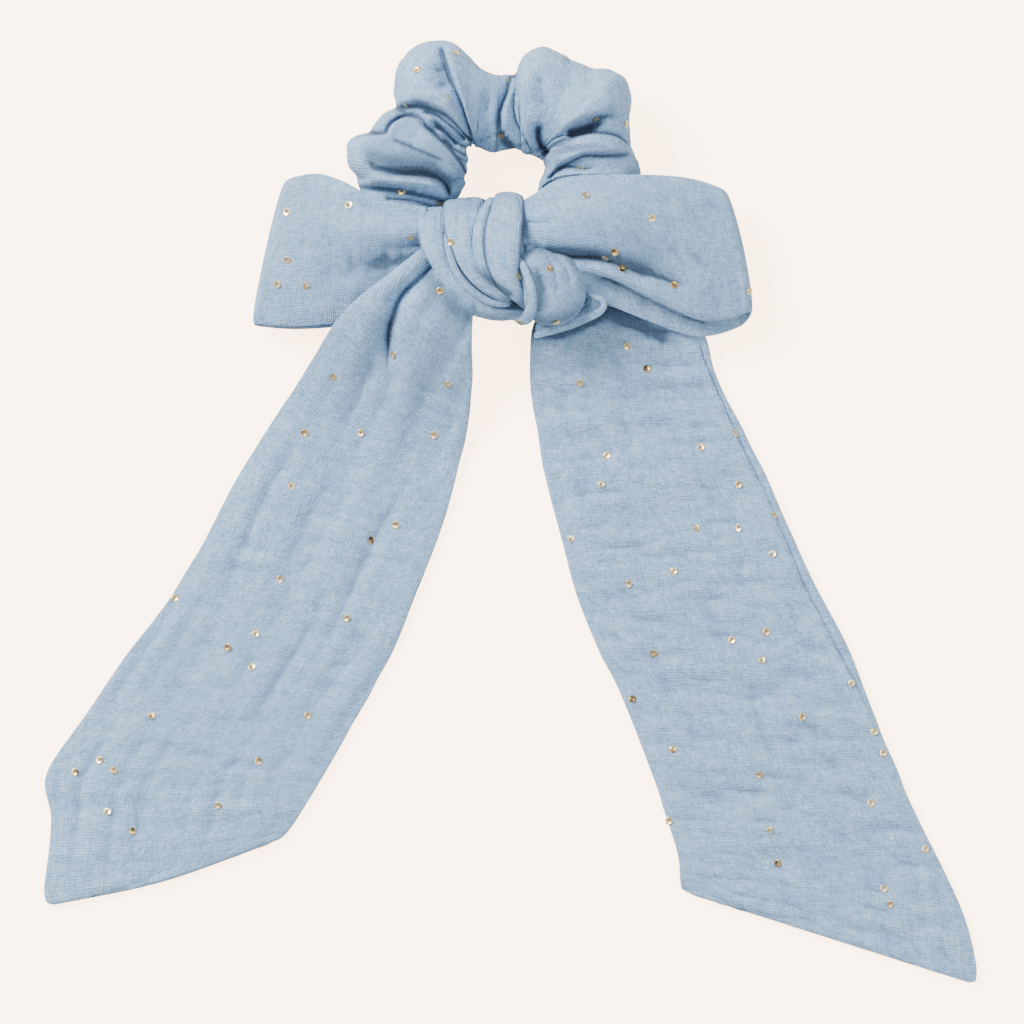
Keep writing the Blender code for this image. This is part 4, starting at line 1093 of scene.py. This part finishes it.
# What is added to the tube's reach to the two, because its gathers move the edges too.
OUTSIDE_TRIM = -0.5
INSIDE_TRIM = 0.2
RING_FOLDS = [
    # Upper left lobe, the band beside it and the fold under it.
    ("tuck", [(-20.4, 141.5), (-19, 137.7), (-18, 134), (-16.2, 129.3), (-14.3, 124.7), (-12.9, 120),
     (-11.5, 115.3), (-10.4, 111.5)], 2, 6, (0.12, 0.05)),
    ("valley", [(-22, 136), (-20.6, 131), (-18.4, 126.5)], 2.6, 1.8, (0.3, 0.3)),
    ("tuck", [(-34.5, 122.2), (-29.2, 123.2), (-24.6, 122.8), (-19.9, 121.1), (-16.2, 118.1),
     (-13.4, 114.9), (-10.6, 111.8)], 1.8, 6.6, (0.05, 0.05)),
    ("ridge", [(-32.5, 125.6), (-26, 126.2), (-20, 124.8), (-15.8, 121.2)], 1.5, 1.6),
    # Swirl of small folds between the upper left lobe and the big left one.
    ("groove", [(-27.4, 120.8), (-22.7, 120.2), (-18, 117.2), (-12.6, 112.4)], 0.8, 3.6, (0.2, 0.05)),
    ("groove", [(-23.6, 117.2), (-19.9, 115.3), (-16.2, 112.1), (-12.6, 109.8)], 0.8, 4.2, (0.2, 0.05)),
    ("groove", [(-19.9, 113.8), (-18.2, 111.4), (-15.2, 108.8), (-12.4, 107.6)], 0.7, 3.2, (0.2, 0.05)),
    ("groove", [(-24, 118.8), (-20.6, 116.6), (-17.6, 113.4), (-15.4, 110.6)], 0.7, 4, (0.2, 0.1)),
    ("ridge", [(-41, 115.6), (-38.2, 118), (-33.9, 120), (-28.3, 120.9)], 1.2, 1.2),
    ("tuck", [(-24.2, 115.4), (-26.2, 117.8), (-29.2, 119.1), (-32.7, 118.5), (-35.6, 116.2),
     (-36.6, 114), (-41.9, 113.6), (-46, 113.2)], 1.1, 6, (0.2, 0.1)),
    ("shade", [(-27, 118.4), (-30, 119.6), (-33.2, 119.2), (-36.2, 116.8), (-37, 114.6)], 0.9, 0.6,
     (0.2, 0.1)),
    ("tuck", [(-13, 101.2), (-14.8, 105.1), (-18, 109.3), (-22.7, 113.7), (-27.4, 117.7)], 1.6, 6.5,
     (0.08, 0.25)),
    # Fold under the big left lobe, and the cuffs between it and the bow.
    ("tuck", [(-44, 106.6), (-39.2, 104.6), (-34.7, 103.4), (-30.7, 103.4), (-25.2, 103.4),
     (-20.4, 101.2), (-18.2, 98.6), (-17.4, 95.4)], 1.6, 8, (0.4, 0.05)),
    ("shade", [(-41, 105), (-34, 103), (-28, 102.4), (-22, 101.8), (-18.8, 100), (-17.8, 96)], (2.3, 1.5),
     0.95, (0.4, 0.05)),
    ("shade", [(-24, 120), (-18, 114), (-13, 106)], (5, 4), 0.35, (0.2, 0.1)),
    ("ridge", [(-44, 101.6), (-37.2, 100.2), (-28.2, 99.3), (-21, 97.6), (-18.6, 94.8)], 1.8, 4.6,
     (0.2, 0.1)),
    ("tuck", [(-46.5, 98.6), (-39.2, 98.4), (-32.2, 97.6), (-27.2, 96.5), (-22.2, 95.2), (-18.4, 93.6)],
     1, 5, (0.05, 0.05)),
    ("shade", [(-42, 97.9), (-32.2, 97), (-27.2, 96), (-22.2, 94.7), (-18.4, 93.1)], (0.8, 0.4), 0.45,
     (0.2, 0.05)),
    ("groove", [(-38, 94.6), (-30, 94.2), (-24, 92.8), (-19, 91.4)], 0.9, 2, (0.1, 0.05)),
    ("shade", [(-45, 106.8), (-36, 106.4), (-26, 105.8), (-18, 103)], (4.6, 3), 0.75, (0.1, 0.2)),
    ("shade", [(-44, 108), (-32, 112), (-24, 130)], 15, 0.14, (0.05, 0.1)),
    ("shade", [(-36, 93), (-28, 92.2), (-20, 90.2)], (1.2, 0.5), 0.4, (0.2, 0.05)),
    # Painted shade in the middle of the upper lobes and of the band between them.
    ("shade", [(-24, 138), (-22, 132), (-20, 126)], 3.6, 0.38, (0.3, 0.3)),
    ("shade", [(-2, 120), (0, 113), (4, 109)], 4, 0.42, (0.3, 0.1)),
    ("shade", [(10, 124), (13, 116), (12, 110)], 3.6, 0.3, (0.3, 0.1)),
    # Band and wedge at the top of the hole.
    ("tuck", [(1.3, 131.8), (0.6, 129), (0.1, 126.5), (-1.3, 122.8), (-2.2, 119.1), (-1.7, 115.3),
     (0.1, 112.1), (2.6, 109)], 1.7, 7, (0.05, 0.05)),
    ("tuck", [(2.6, 134), (2.3, 128.4), (1.9, 122.8), (2.6, 118.1), (4.7, 113.9), (7.4, 108.8)], 1.2, 3.6,
     (0.1, 0.05)),
    ("groove", [(9.2, 117.6), (8.6, 114.4), (9.8, 110.6), (12.2, 108.4)], 1.4, 7.5, (0.2, 0.05)),
    ("valley", [(-6, 128), (-6.6, 120), (-5.6, 112)], 1.8, 1.1, (0.3, 0.1)),
    # Pocket under the upper right lobe.
    ("valley", [(17, 113.6), (20, 114.9), (23, 116), (26.6, 117.4), (30, 118.8)], 1.8, 9, (0.12, 0.6)),
    ("shade", [(17.4, 113.8), (20.4, 114.9), (22.6, 115.6), (25.4, 116.6)], (1, 0.8), 1.1, (0.2, 0.5)),
    ("shade", [(18.6, 115), (22.6, 117), (27, 118.6), (31.6, 119.6)], (1.4, 2.4), 0.55, (0.2, 0.4)),
    # Painted shade in the folds at the left and at the edges of the hole.
    ("shade", [(-31, 122.8), (-28, 123.6), (-25, 123.3), (-21.5, 122.5)], (0.6, 0.7), 0.75, (0.4, 0.4)),
    ("shade", [(-14.6, 109), (-13.6, 103), (-15.4, 97)], (3, 3.6), 0.5),
    ("shade", [(-12, 111), (-4, 109.8), (4, 109.4)], (3, 2), 0.5),
    ("shade", [(9.2, 117.6), (8.6, 114.4), (9.8, 110.6), (12.2, 108.4)], 1, 0.6, (0.2, 0.05)),
    # Rims and cuffs at the right, and soft folds on the upper right lobe.
    ("tuck", [(15, 114.4), (18.6, 116.6), (21.6, 118.6), (25.3, 119.6), (30, 120.2), (34.6, 119)], 1.2,
     3.4, (0.2, 0.3)),
    ("tuck", [(36.5, 109.6), (33.2, 112.4), (29.5, 113.6), (23.9, 114.1), (18.3, 113.6), (13.7, 112.3),
     (9.9, 108.8)], 1.4, 4.4, (0.1, 0.1)),
    ("tuck", [(11.2, 100.2), (14.6, 104.1), (19.3, 106.8), (23, 108.2), (28.6, 108.1), (37.6, 108.6)],
     1.2, 5.2, (0.06, 0.2)),
    ("groove", [(13.4, 103.5), (18.3, 104.3), (23, 103.6), (27.6, 104.8)], 0.8, 2.8, (0.1, 0.4)),
    ("tuck", [(9, 97.6), (13.7, 100.6), (21.1, 101.4), (30.5, 100.9), (39.8, 100.6)], 1, 4, (0.06, 0.2)),
    ("ridge", [(14, 110.4), (20, 111.2), (28, 110.8), (34, 109)], 1.3, 1.2),
    ("valley", [(8, 134), (10, 127), (9.6, 120)], 2.6, 1.2, (0.3, 0.3)),
    ("ridge", [(27, 131), (30, 126), (31.5, 121.5)], 2.4, 1.2, (0.3, 0.2)),
]
# Section of the flat elastic: outwards and up from the ring's middle line.
ELASTIC_SECTION = [(0.5, -3), (0.6, 0), (0.5, 3), (-0.5, 3), (-0.6, 0), (-0.5, -3)]
ELASTIC_ROWS = 240


def ring_path(rows):
    """Stations round the ring, its middle line and the way outwards at each."""
    stations = curve(RING_STATIONS, np.arange(rows) / rows, closed=True)
    path = stations[:, :2]
    forward = np.roll(path, -1, 0) - np.roll(path, 1, 0)
    forward /= np.linalg.norm(forward, axis=1, keepdims=True)
    outward = np.stack([-forward[:, 1], forward[:, 0], np.zeros(rows)], axis=1)
    middle = np.concatenate([path, stations[:, 4:5]], axis=1)
    return stations, middle, outward


def reach_to(path, direction, line, fallback):
    """Distance from each path point to a drawn line, along a direction, or else the fallback."""
    line = smooth_line(line, 500)
    start, step = line[:-1], np.diff(line, axis=0)
    gap = start[None] - path[:, None]
    across = direction[:, None, 0] * step[None, :, 1] - direction[:, None, 1] * step[None, :, 0]
    across = np.where(np.abs(across) < 1e-9, 1e-9, across)
    reach = (gap[..., 0] * step[None, :, 1] - gap[..., 1] * step[None, :, 0]) / across
    share = (gap[..., 0] * direction[:, None, 1] - gap[..., 1] * direction[:, None, 0]) / across
    hit = (share >= 0) & (share <= 1) & (reach > LEAST_REACH) & (reach < MOST_REACH)
    found = np.where(hit, reach, 1e9).min(axis=1)
    return np.where(found < 1e8, found, fallback)


def ring_reaches(stations, path, outward):
    """How far the tube reaches outwards and towards the hole at each station."""
    showing = smooth((path[:, 1] - EDGES_FROM) / EDGES_BLEND)
    outside = reach_to(path, outward[:, :2], RING_OUTSIDE, stations[:, 2]) + OUTSIDE_TRIM
    inside = reach_to(path, -outward[:, :2], RING_INSIDE, stations[:, 3]) + INSIDE_TRIM
    outside = stations[:, 2] + (outside - stations[:, 2]) * showing
    inside = stations[:, 3] + (inside - stations[:, 3]) * showing
    return outside, inside


def ring_gathers(share, cosine, sine, grid_along, around_mm):
    """Relief of the gathers that run round the tube every few millimetres.

    They are deepest towards the hole and underneath.
    """
    drift = 2.2 * noise(cosine * 1.1 + 4, grid_along / 21, 21) + 1.2 * noise(
        sine * 1.5 + 8, grid_along / 13, 22
    )

    def looped(stretch, seed):
        """Noise along the ring that meets itself where the ring closes."""
        cells = round(RING_LENGTH / stretch)
        at = (grid_along + drift) / RING_LENGTH * cells
        mix = smooth((share - 0.9) / 0.1)[:, None]
        here = noise(at, cosine * 0.9 + sine * 0.4, seed)
        wrapped = noise(at - cells, cosine * 0.9 + sine * 0.4, seed)
        return here * (1 - mix) + wrapped * mix

    inner = 0.6 * smooth((0.25 - cosine) / 1.1)
    under = smooth((-sine - 0.1) * 1.6)
    outer = smooth((cosine - 0.55) / 0.4)
    pinch = -np.exp(-np.abs(looped(4.6, 23)) * 5.0)
    small = -np.exp(-np.abs(looped(2.6, 24)) * 4.0)
    depth = (0.12 + 1.0 * inner + 1.1 * under + 0.7 * outer) * pinch
    depth += (0.15 + 0.4 * inner + 0.5 * under + 0.3 * outer) * small
    return depth + (0.6 * crinkle(around_mm, grid_along * 1.3, 25) + 0.3)


def ring_casing(material):
    """Gathered tube: lobes and cuffs of cloth pinched between by the elastic inside."""
    share = np.arange(RING_ROWS) / RING_ROWS
    stations, middle, outward = ring_path(RING_ROWS)
    outside, inside = ring_reaches(stations, middle[:, :2], outward)
    turn = turns_round(RING_COLUMNS)
    cosine, sine = by_column(np.cos(turn), RING_ROWS), by_column(np.sin(turn), RING_ROWS)
    grid_along = by_row(share * RING_LENGTH, RING_COLUMNS)
    around_mm = by_column(turn * TUBE_RADIUS, RING_ROWS)
    reach = np.where(cosine > 0, outside[:, None], inside[:, None])
    tall = (stations[:, 5] + (outside - stations[:, 2]) * LOBE_RISE)[:, None]
    depth = ring_gathers(share, cosine, sine, grid_along, around_mm)
    body = middle[:, None] + outward[:, None] * ((reach + depth) * cosine)[..., None]
    body[..., 2] += (tall + depth) * sine * (1.12 - 0.12 * sine**2)
    normal = grid_normals(body, closed_rows=True)
    normal *= np.sign(np.sum(normal * (body - middle[:, None]), axis=-1, keepdims=True))
    facing = smooth((normal[..., 2] + 0.05) * 1.8)
    facing *= smooth((body[..., 1] - FOLDS_FROM) / FOLDS_BLEND)
    shade = sculpt(body, RING_FOLDS, facing, from_eye=True) * facing
    body = relax(body, 2, closed_rows=True)
    body[..., 2] = np.maximum(body[..., 2], RING_GAP)
    marks = cloth_marks(around_mm, grid_along, 12.1)
    return sweep("ring_casing", body, material, marks, closed_rows=True, shade=shade)


def elastic_band(material):
    _, middle, outward = ring_path(ELASTIC_ROWS)
    body = np.stack(
        [middle + outward * across + np.array((0, 0, up)) for across, up in ELASTIC_SECTION],
        axis=1,
    )
    return sweep("elastic", body, material, np.zeros_like(body), closed_rows=True)


# ---------------------------------------------------------------- sequins

# Where the eye sees the front's sequins against the table.
SEQUIN_SPOTS = {
    "ring_casing": [
        (-27.4, 133.3), (-16, 138.2), (-18.4, 124.9), (-30.9, 122.8), (0, 129.8), (-2.4, 113.7),
        (-32.2, 96.7), (21.5, 103.7), (35, 117), (-20.7, 92.9), (-17.4, 92.6), (16.7, 137), (26, 118.6),
    ],
    "loop_left": [(-48, 92.7), (-66.6, 90.6), (-29.4, 83.1), (-66.3, 76.2), (-69.3, 68.9), (-60.8, 68.6)],
    "loop_right": [
        (23.1, 95.5), (42.9, 88.8), (29, 76.9), (31.8, 78.6), (33.9, 73.6), (49.5, 68.7), (72, 66.8),
    ],
    "knot": [(-17.4, 81.6), (12, 73.6), (3.3, 57.6), (14.1, 57.6), (2.6, 71.2)],
    "tail_left": [
        (-20.7, 67), (-34.6, 47.7), (-52.8, 41.1), (-18.3, 39), (-61.2, 24.3), (-44.4, 24.3),
        (-22.5, 23.7), (-65.4, 8.4), (-33.9, -3.3), (-41.4, -7.8), (-68.7, -19.5), (-48.6, -31.2),
        (-100.2, -25.2), (-76, -36), (-84.3, -40), (-77.1, -45.9), (-107.2, -60.4), (-60.4, -60.4),
        (-75.2, -74.1), (-122.7, -73.8), (-118.6, -76.8), (-130.2, -77.4), (-87.3, -87.4),
        (-120.4, -89.2), (-113, -95.1),
    ],
    "tail_right": [
        (35.4, 50.4), (41.4, 43.5), (21.3, 39.3), (68, 24.2), (57.6, 20), (29.4, 17.7), (27.6, 9),
        (68.9, 8.9), (79.4, -0.3), (56.3, -4.2), (68.9, -4.2), (18.6, -7.4), (79.1, -12), (49.4, -17.1),
        (35.9, -20.9), (77.1, -35.4), (66.9, -37.8), (43.4, -41.7), (75.9, -43.8), (102.6, -50.7),
        (37, -55.5), (87.9, -60.9), (109.5, -65.3), (49.1, -70.5), (112.2, -71.7), (75, -78.3),
        (108.6, -86.7), (48, -92.1), (78.2, -94.7), (124.8, -100.5), (80.7, -104.7), (112.5, -112.2),
        (114.5, -117),
    ],
}
# Places on the hidden back. Those on the tails are scattered.
BACK_SPOTS = {
    "ring_casing": [(-34, 104), (-14, 128), (12, 126), (28, 101), (24, 118)],
    "loop_left": [(-60, 90), (-52, 70), (-66, 64)],
    "loop_right": [(44, 92), (58, 76), (50, 62), (66, 88)],
}
BACK_COUNT = 22
SEQUIN_SEED = 7
SEQUIN_SIDES = 22
# Radius and height round the cupped section, from the hole out to the rim and back.
SEQUIN_PROFILE = [
    (0.28, 0.0), (0.42, 0.04), (0.74, 0.12), (1.00, 0.18), (1.13, 0.19),
    (1.11, 0.25), (0.98, 0.25), (0.74, 0.19), (0.42, 0.11), (0.28, 0.07),
]
# Height of a sequin's hole over the cloth, and its random lean.
SEQUIN_LIFT = 0.12
SEQUIN_LEAN = 0.13
# Least height over the table of the sequins on the back.
BACK_HEIGHT = 0.5
# How far below the table the search for the back's cloth starts.
BELOW_TABLE = -50.0
STITCH_SIDES = 6
STITCH_STEPS = 9
STITCH_RADIUS = 0.07
STITCH_LENGTH = 1.36


def sequin_body(base, up, seed):
    """Cupped disc with a centre hole and a slightly wavy rim."""
    helper = np.array((0.0, 1.0, 0.0)) if abs(up[1]) < 0.9 else np.array((1.0, 0.0, 0.0))
    across = np.cross(helper, up)
    across /= np.linalg.norm(across)
    over = np.cross(up, across)
    points = []
    for radius, height in SEQUIN_PROFILE:
        for turn in turns_round(SEQUIN_SIDES):
            facet = 1.0 + 0.02 * np.sin(6 * turn + seed)
            points.append(
                base + up * height
                + radius * facet * (np.cos(turn) * across + np.sin(turn) * over)
            )
    return points, ring_quads(len(SEQUIN_PROFILE), SEQUIN_SIDES, closed=True)


def stitch_body(base, up, heading):
    """Short thread from the hole over the rim, back into the cloth."""
    side_axis = np.cross(up, heading)
    points = []
    for step in range(STITCH_STEPS):
        share = step / (STITCH_STEPS - 1)
        rise = 0.30 + 0.34 * np.sin(np.pi * min(1.0, share * 1.05)) - 0.35 * share**3
        middle = base + heading * (STITCH_LENGTH * share) + up * rise
        for turn in turns_round(STITCH_SIDES):
            points.append(middle + STITCH_RADIUS * (np.cos(turn) * side_axis + np.sin(turn) * up))
    return points, ring_quads(STITCH_STEPS, STITCH_SIDES, closed=False)


def add_part(points, faces, part):
    """Add one part's points and faces to those of a mesh in the making."""
    first = len(points)
    points += part[0]
    faces += [tuple(first + i for i in face) for face in part[1]]


def cloth_tree(things):
    """Ray-cast tree over one or more cloth pieces, in mm."""
    points, faces = [], []
    for thing in things:
        add_part(points, faces, (
            [tuple(v.co / MM) for v in thing.data.vertices],
            [face.vertices for face in thing.data.polygons],
        ))
    return BVHTree.FromPolygons(points, faces)


def scatter(left, right, rng):
    """Spots for the sequins of a tail's hidden back, clear of its root."""
    spots = []
    for _ in range(BACK_COUNT):
        share, part = rng.uniform(0.3, 0.97), rng.uniform(0.1, 0.9)
        one, two = curve(left, share), curve(right, share)
        spots.append(tuple((one + (two - one) * part)[:2]))
    return spots


def sew_sequins(name, tree, spots, back_spots, materials, rng):
    """Sequins and their stitches: on the front from the eye's side, on the back from below."""
    sequins, stitches = ([], []), ([], [])
    for side, places in ((1.0, spots), (-1.0, back_spots)):
        for x, y in places:
            start = Vector((0.0, 0.0, EYE)) if side > 0 else Vector((x, y, BELOW_TABLE))
            toward = Vector((x, y, 0.0)) - start if side > 0 else Vector((0.0, 0.0, 1.0))
            hit, normal, _, _ = tree.ray_cast(start, toward.normalized())
            if hit is None:
                continue
            up = np.array(normal)
            if up[2] * side < 0:
                up = -up
            up = up + rng.normal(0.0, SEQUIN_LEAN, 3)
            up /= np.linalg.norm(up)
            base = np.array(hit) + up * SEQUIN_LIFT
            if side < 0:
                base[2] = max(base[2], BACK_HEIGHT)
            add_part(*sequins, sequin_body(base, up, rng.uniform(0, 6)))
            heading = np.cross(up, (np.cos(rng.uniform(0, TAU)), 1.0, 0.2))
            heading /= np.linalg.norm(heading)
            add_part(*stitches, stitch_body(base, up, heading))
    return [
        add_mesh("sequins_" + name, *sequins, materials[0]),
        add_mesh("stitches_" + name, *stitches, materials[1]),
    ]


# ---------------------------------------------------------------- assembly

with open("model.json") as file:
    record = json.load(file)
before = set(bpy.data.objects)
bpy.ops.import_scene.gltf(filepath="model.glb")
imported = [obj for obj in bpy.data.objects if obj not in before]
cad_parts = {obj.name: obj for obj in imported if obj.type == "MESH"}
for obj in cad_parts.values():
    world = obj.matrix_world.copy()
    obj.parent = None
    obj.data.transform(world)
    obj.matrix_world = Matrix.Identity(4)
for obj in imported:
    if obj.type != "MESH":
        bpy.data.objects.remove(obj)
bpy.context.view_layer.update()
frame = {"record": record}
numbers = {}
for body, members in frame["record"]["behaviour"]["bodies"].items():
    numbers[body] = [name for name in members if name.startswith("sequin_")]

gauze = gauze_material()
gold = gold_material()
gold_thread = thread_material((0.20, 0.13, 0.06))

casing = ring_casing(gauze)
knot = build_knot(gauze)
loop_left = loop("loop_left", LEFT_LOOP, LEFT_LOOP_FOLDS, 3.0, 3, gauze, (-1.0, -0.15), 0.07)
loop_right = loop("loop_right", RIGHT_LOOP, RIGHT_LOOP_FOLDS, 5.2, 4, gauze, (1.0, 0.1), 0.15)
tail_left = tail(
    "tail_left", LEFT_TAIL_LEFT, LEFT_TAIL_RIGHT, LEFT_TAIL_FOLDS, 1, gauze, (0.5, 1.1),
    bow=2.4, streaks=0.9,
)
tail_right = tail(
    "tail_right", RIGHT_TAIL_LEFT, RIGHT_TAIL_RIGHT, RIGHT_TAIL_FOLDS, 2, gauze, (0.1, 0.8),
    streaks=0.1,
)
elastic = elastic_band(elastic_material())

rng = np.random.default_rng(SEQUIN_SEED)
back_spots = {
    **BACK_SPOTS,
    "tail_left": scatter(LEFT_TAIL_LEFT, LEFT_TAIL_RIGHT, rng),
    "tail_right": scatter(RIGHT_TAIL_LEFT, RIGHT_TAIL_RIGHT, rng),
}
carriers = {
    "ring_casing": [casing], "knot": knot, "loop_left": [loop_left], "loop_right": [loop_right],
    "tail_left": [tail_left], "tail_right": [tail_right],
}
trim = {}
for name, things in carriers.items():
    trim[name] = sew_sequins(
        name, cloth_tree(things), SEQUIN_SPOTS[name], back_spots.get(name, ()),
        (gold, gold_thread), rng,
    )

# What each piece would bend between: two bodies, and where the bend starts and ends, in metres.
# Only the names are read here: these pieces keep their place, the rest are hung on the bow.
RING_NEAR = (0.0, 0.090, 0.014)
RING_FAR = (0.0, 0.120, 0.014)
BENDS = {
    "loop_left": ("bow", "loop_left", (-0.0245, 0.080, 0.023), (-0.033, 0.080, 0.023)),
    "loop_right": ("bow", "loop_right", (0.0155, 0.0806, 0.024), (0.0235, 0.0750, 0.024)),
    "tail_left": ("bow", "tail_left", (-0.0190, 0.0695, 0.027), (-0.0255, 0.0620, 0.027)),
    "tail_right": ("bow", "tail_right", (0.032, 0.0545, 0.003), (0.032, 0.0450, 0.003)),
    "ring_casing": ("ring", "ring_far", RING_NEAR, RING_FAR),
}
for name, things in carriers.items():
    for thing in things + trim[name]:
        if name in BENDS:
            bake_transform(thing)
        else:
            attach(thing, "bow")
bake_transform(elastic)

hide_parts("casing", "casing_closing_thread")
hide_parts("elastic_band", "elastic_join_thread")
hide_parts("sash_knot_wrap")
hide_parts("sash_knot_tuck")
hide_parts("sash_knot_band")
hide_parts("sash_loop_left")
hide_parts("sash_loop_right")
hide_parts("sash_tail_left", "sash_closing_thread")
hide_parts("sash_tail_right", "sash_tail_root_right")
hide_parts(*numbers["ring"], *numbers["ring_far"])
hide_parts(*numbers["bow"])
for name in ("loop_left", "loop_right", "tail_left", "tail_right"):
    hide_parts(*numbers[name])

# ---------------------------------------------------------------- stage, light and camera

# The floor is cream paper on a light table: a little light of its own keeps shadows faint.
FLOOR_GLOW = (1.0, 0.70, 0.45)
FLOOR_GLOW_STRENGTH = 7.1
FLOOR_PALE = (0.93, 0.885, 0.83)
FLOOR_DARK = (0.90, 0.86, 0.80)
FLOOR_SIZE = 8.0
# The floor lies this far under the piece, so that the two don't touch.
FLOOR_DROP = 0.0004
WARM_LIGHT = (1.0, 0.985, 0.96)
COOL_LIGHT = (0.92, 0.96, 1.0)
# Name, place, diameter, power and colour of each lamp. All of them aim at the table's middle.
LAMPS = [
    ("window", (-1.10, 0.90, 1.25), 0.85, 73.0, WARM_LIGHT),
    ("catch_light", (-0.12, 0.12, 2.35), 0.40, 12.0, WARM_LIGHT),
    ("fill", (1.3, -0.3, 1.4), 1.4, 17.0, COOL_LIGHT),
]
SKY_COLOUR = (0.97, 0.98, 1.0)
SKY_STRENGTH = 0.55
CAMERA_PLACE = (0.0009, 0.0006, EYE * MM)
# Focal length and sensor width, in mm.
CAMERA_LENS = 234.4
CAMERA_SENSOR = 36.0


def floor_material():
    g = Graph("cream_paper")
    grain = g.noise(g.place(), 60.0, 2.0)
    seen = g.node("ShaderNodeLightPath").outputs["Is Camera Ray"]
    g.look(
        Base_Color=g.ramp(grain, [(0.3, FLOOR_DARK), (0.7, FLOOR_PALE)]), Roughness=0.9,
        Specular_IOR_Level=0.1, Emission_Color=(*FLOOR_GLOW, 1.0),
        Emission_Strength=g.maths("MULTIPLY", seen, FLOOR_GLOW_STRENGTH),
    )
    return g.material


def add_floor():
    bpy.ops.mesh.primitive_plane_add(size=FLOOR_SIZE, location=(0.0, 0.0, -FLOOR_DROP))
    floor = bpy.context.object
    floor.name = "floor"
    floor.data.materials.append(floor_material())
    return floor


def add_lamp(name, place, size, power, colour):
    light = bpy.data.lights.new(name, "AREA")
    light.shape = "DISK"
    light.size = size
    light.energy = power
    light.color = colour
    lamp = bpy.data.objects.new(name, light)
    lamp.location = place
    lamp.rotation_euler = (-Vector(place)).to_track_quat("-Z", "Y").to_euler()
    bpy.context.scene.collection.objects.link(lamp)


def add_sky():
    world = bpy.data.worlds.new("studio")
    world.use_nodes = True
    background = world.node_tree.nodes["Background"]
    background.inputs["Color"].default_value = (*SKY_COLOUR, 1.0)
    background.inputs["Strength"].default_value = SKY_STRENGTH
    bpy.context.scene.world = world


def add_camera():
    """Camera straight above the table, looking down."""
    camera_data = bpy.data.cameras.new("camera")
    camera_data.lens = CAMERA_LENS
    camera_data.sensor_width = CAMERA_SENSOR
    camera = bpy.data.objects.new("camera", camera_data)
    camera.location = CAMERA_PLACE
    bpy.context.scene.collection.objects.link(camera)
    bpy.context.scene.camera = camera


add_floor()
for lamp_values in LAMPS:
    add_lamp(*lamp_values)
add_sky()
add_camera()
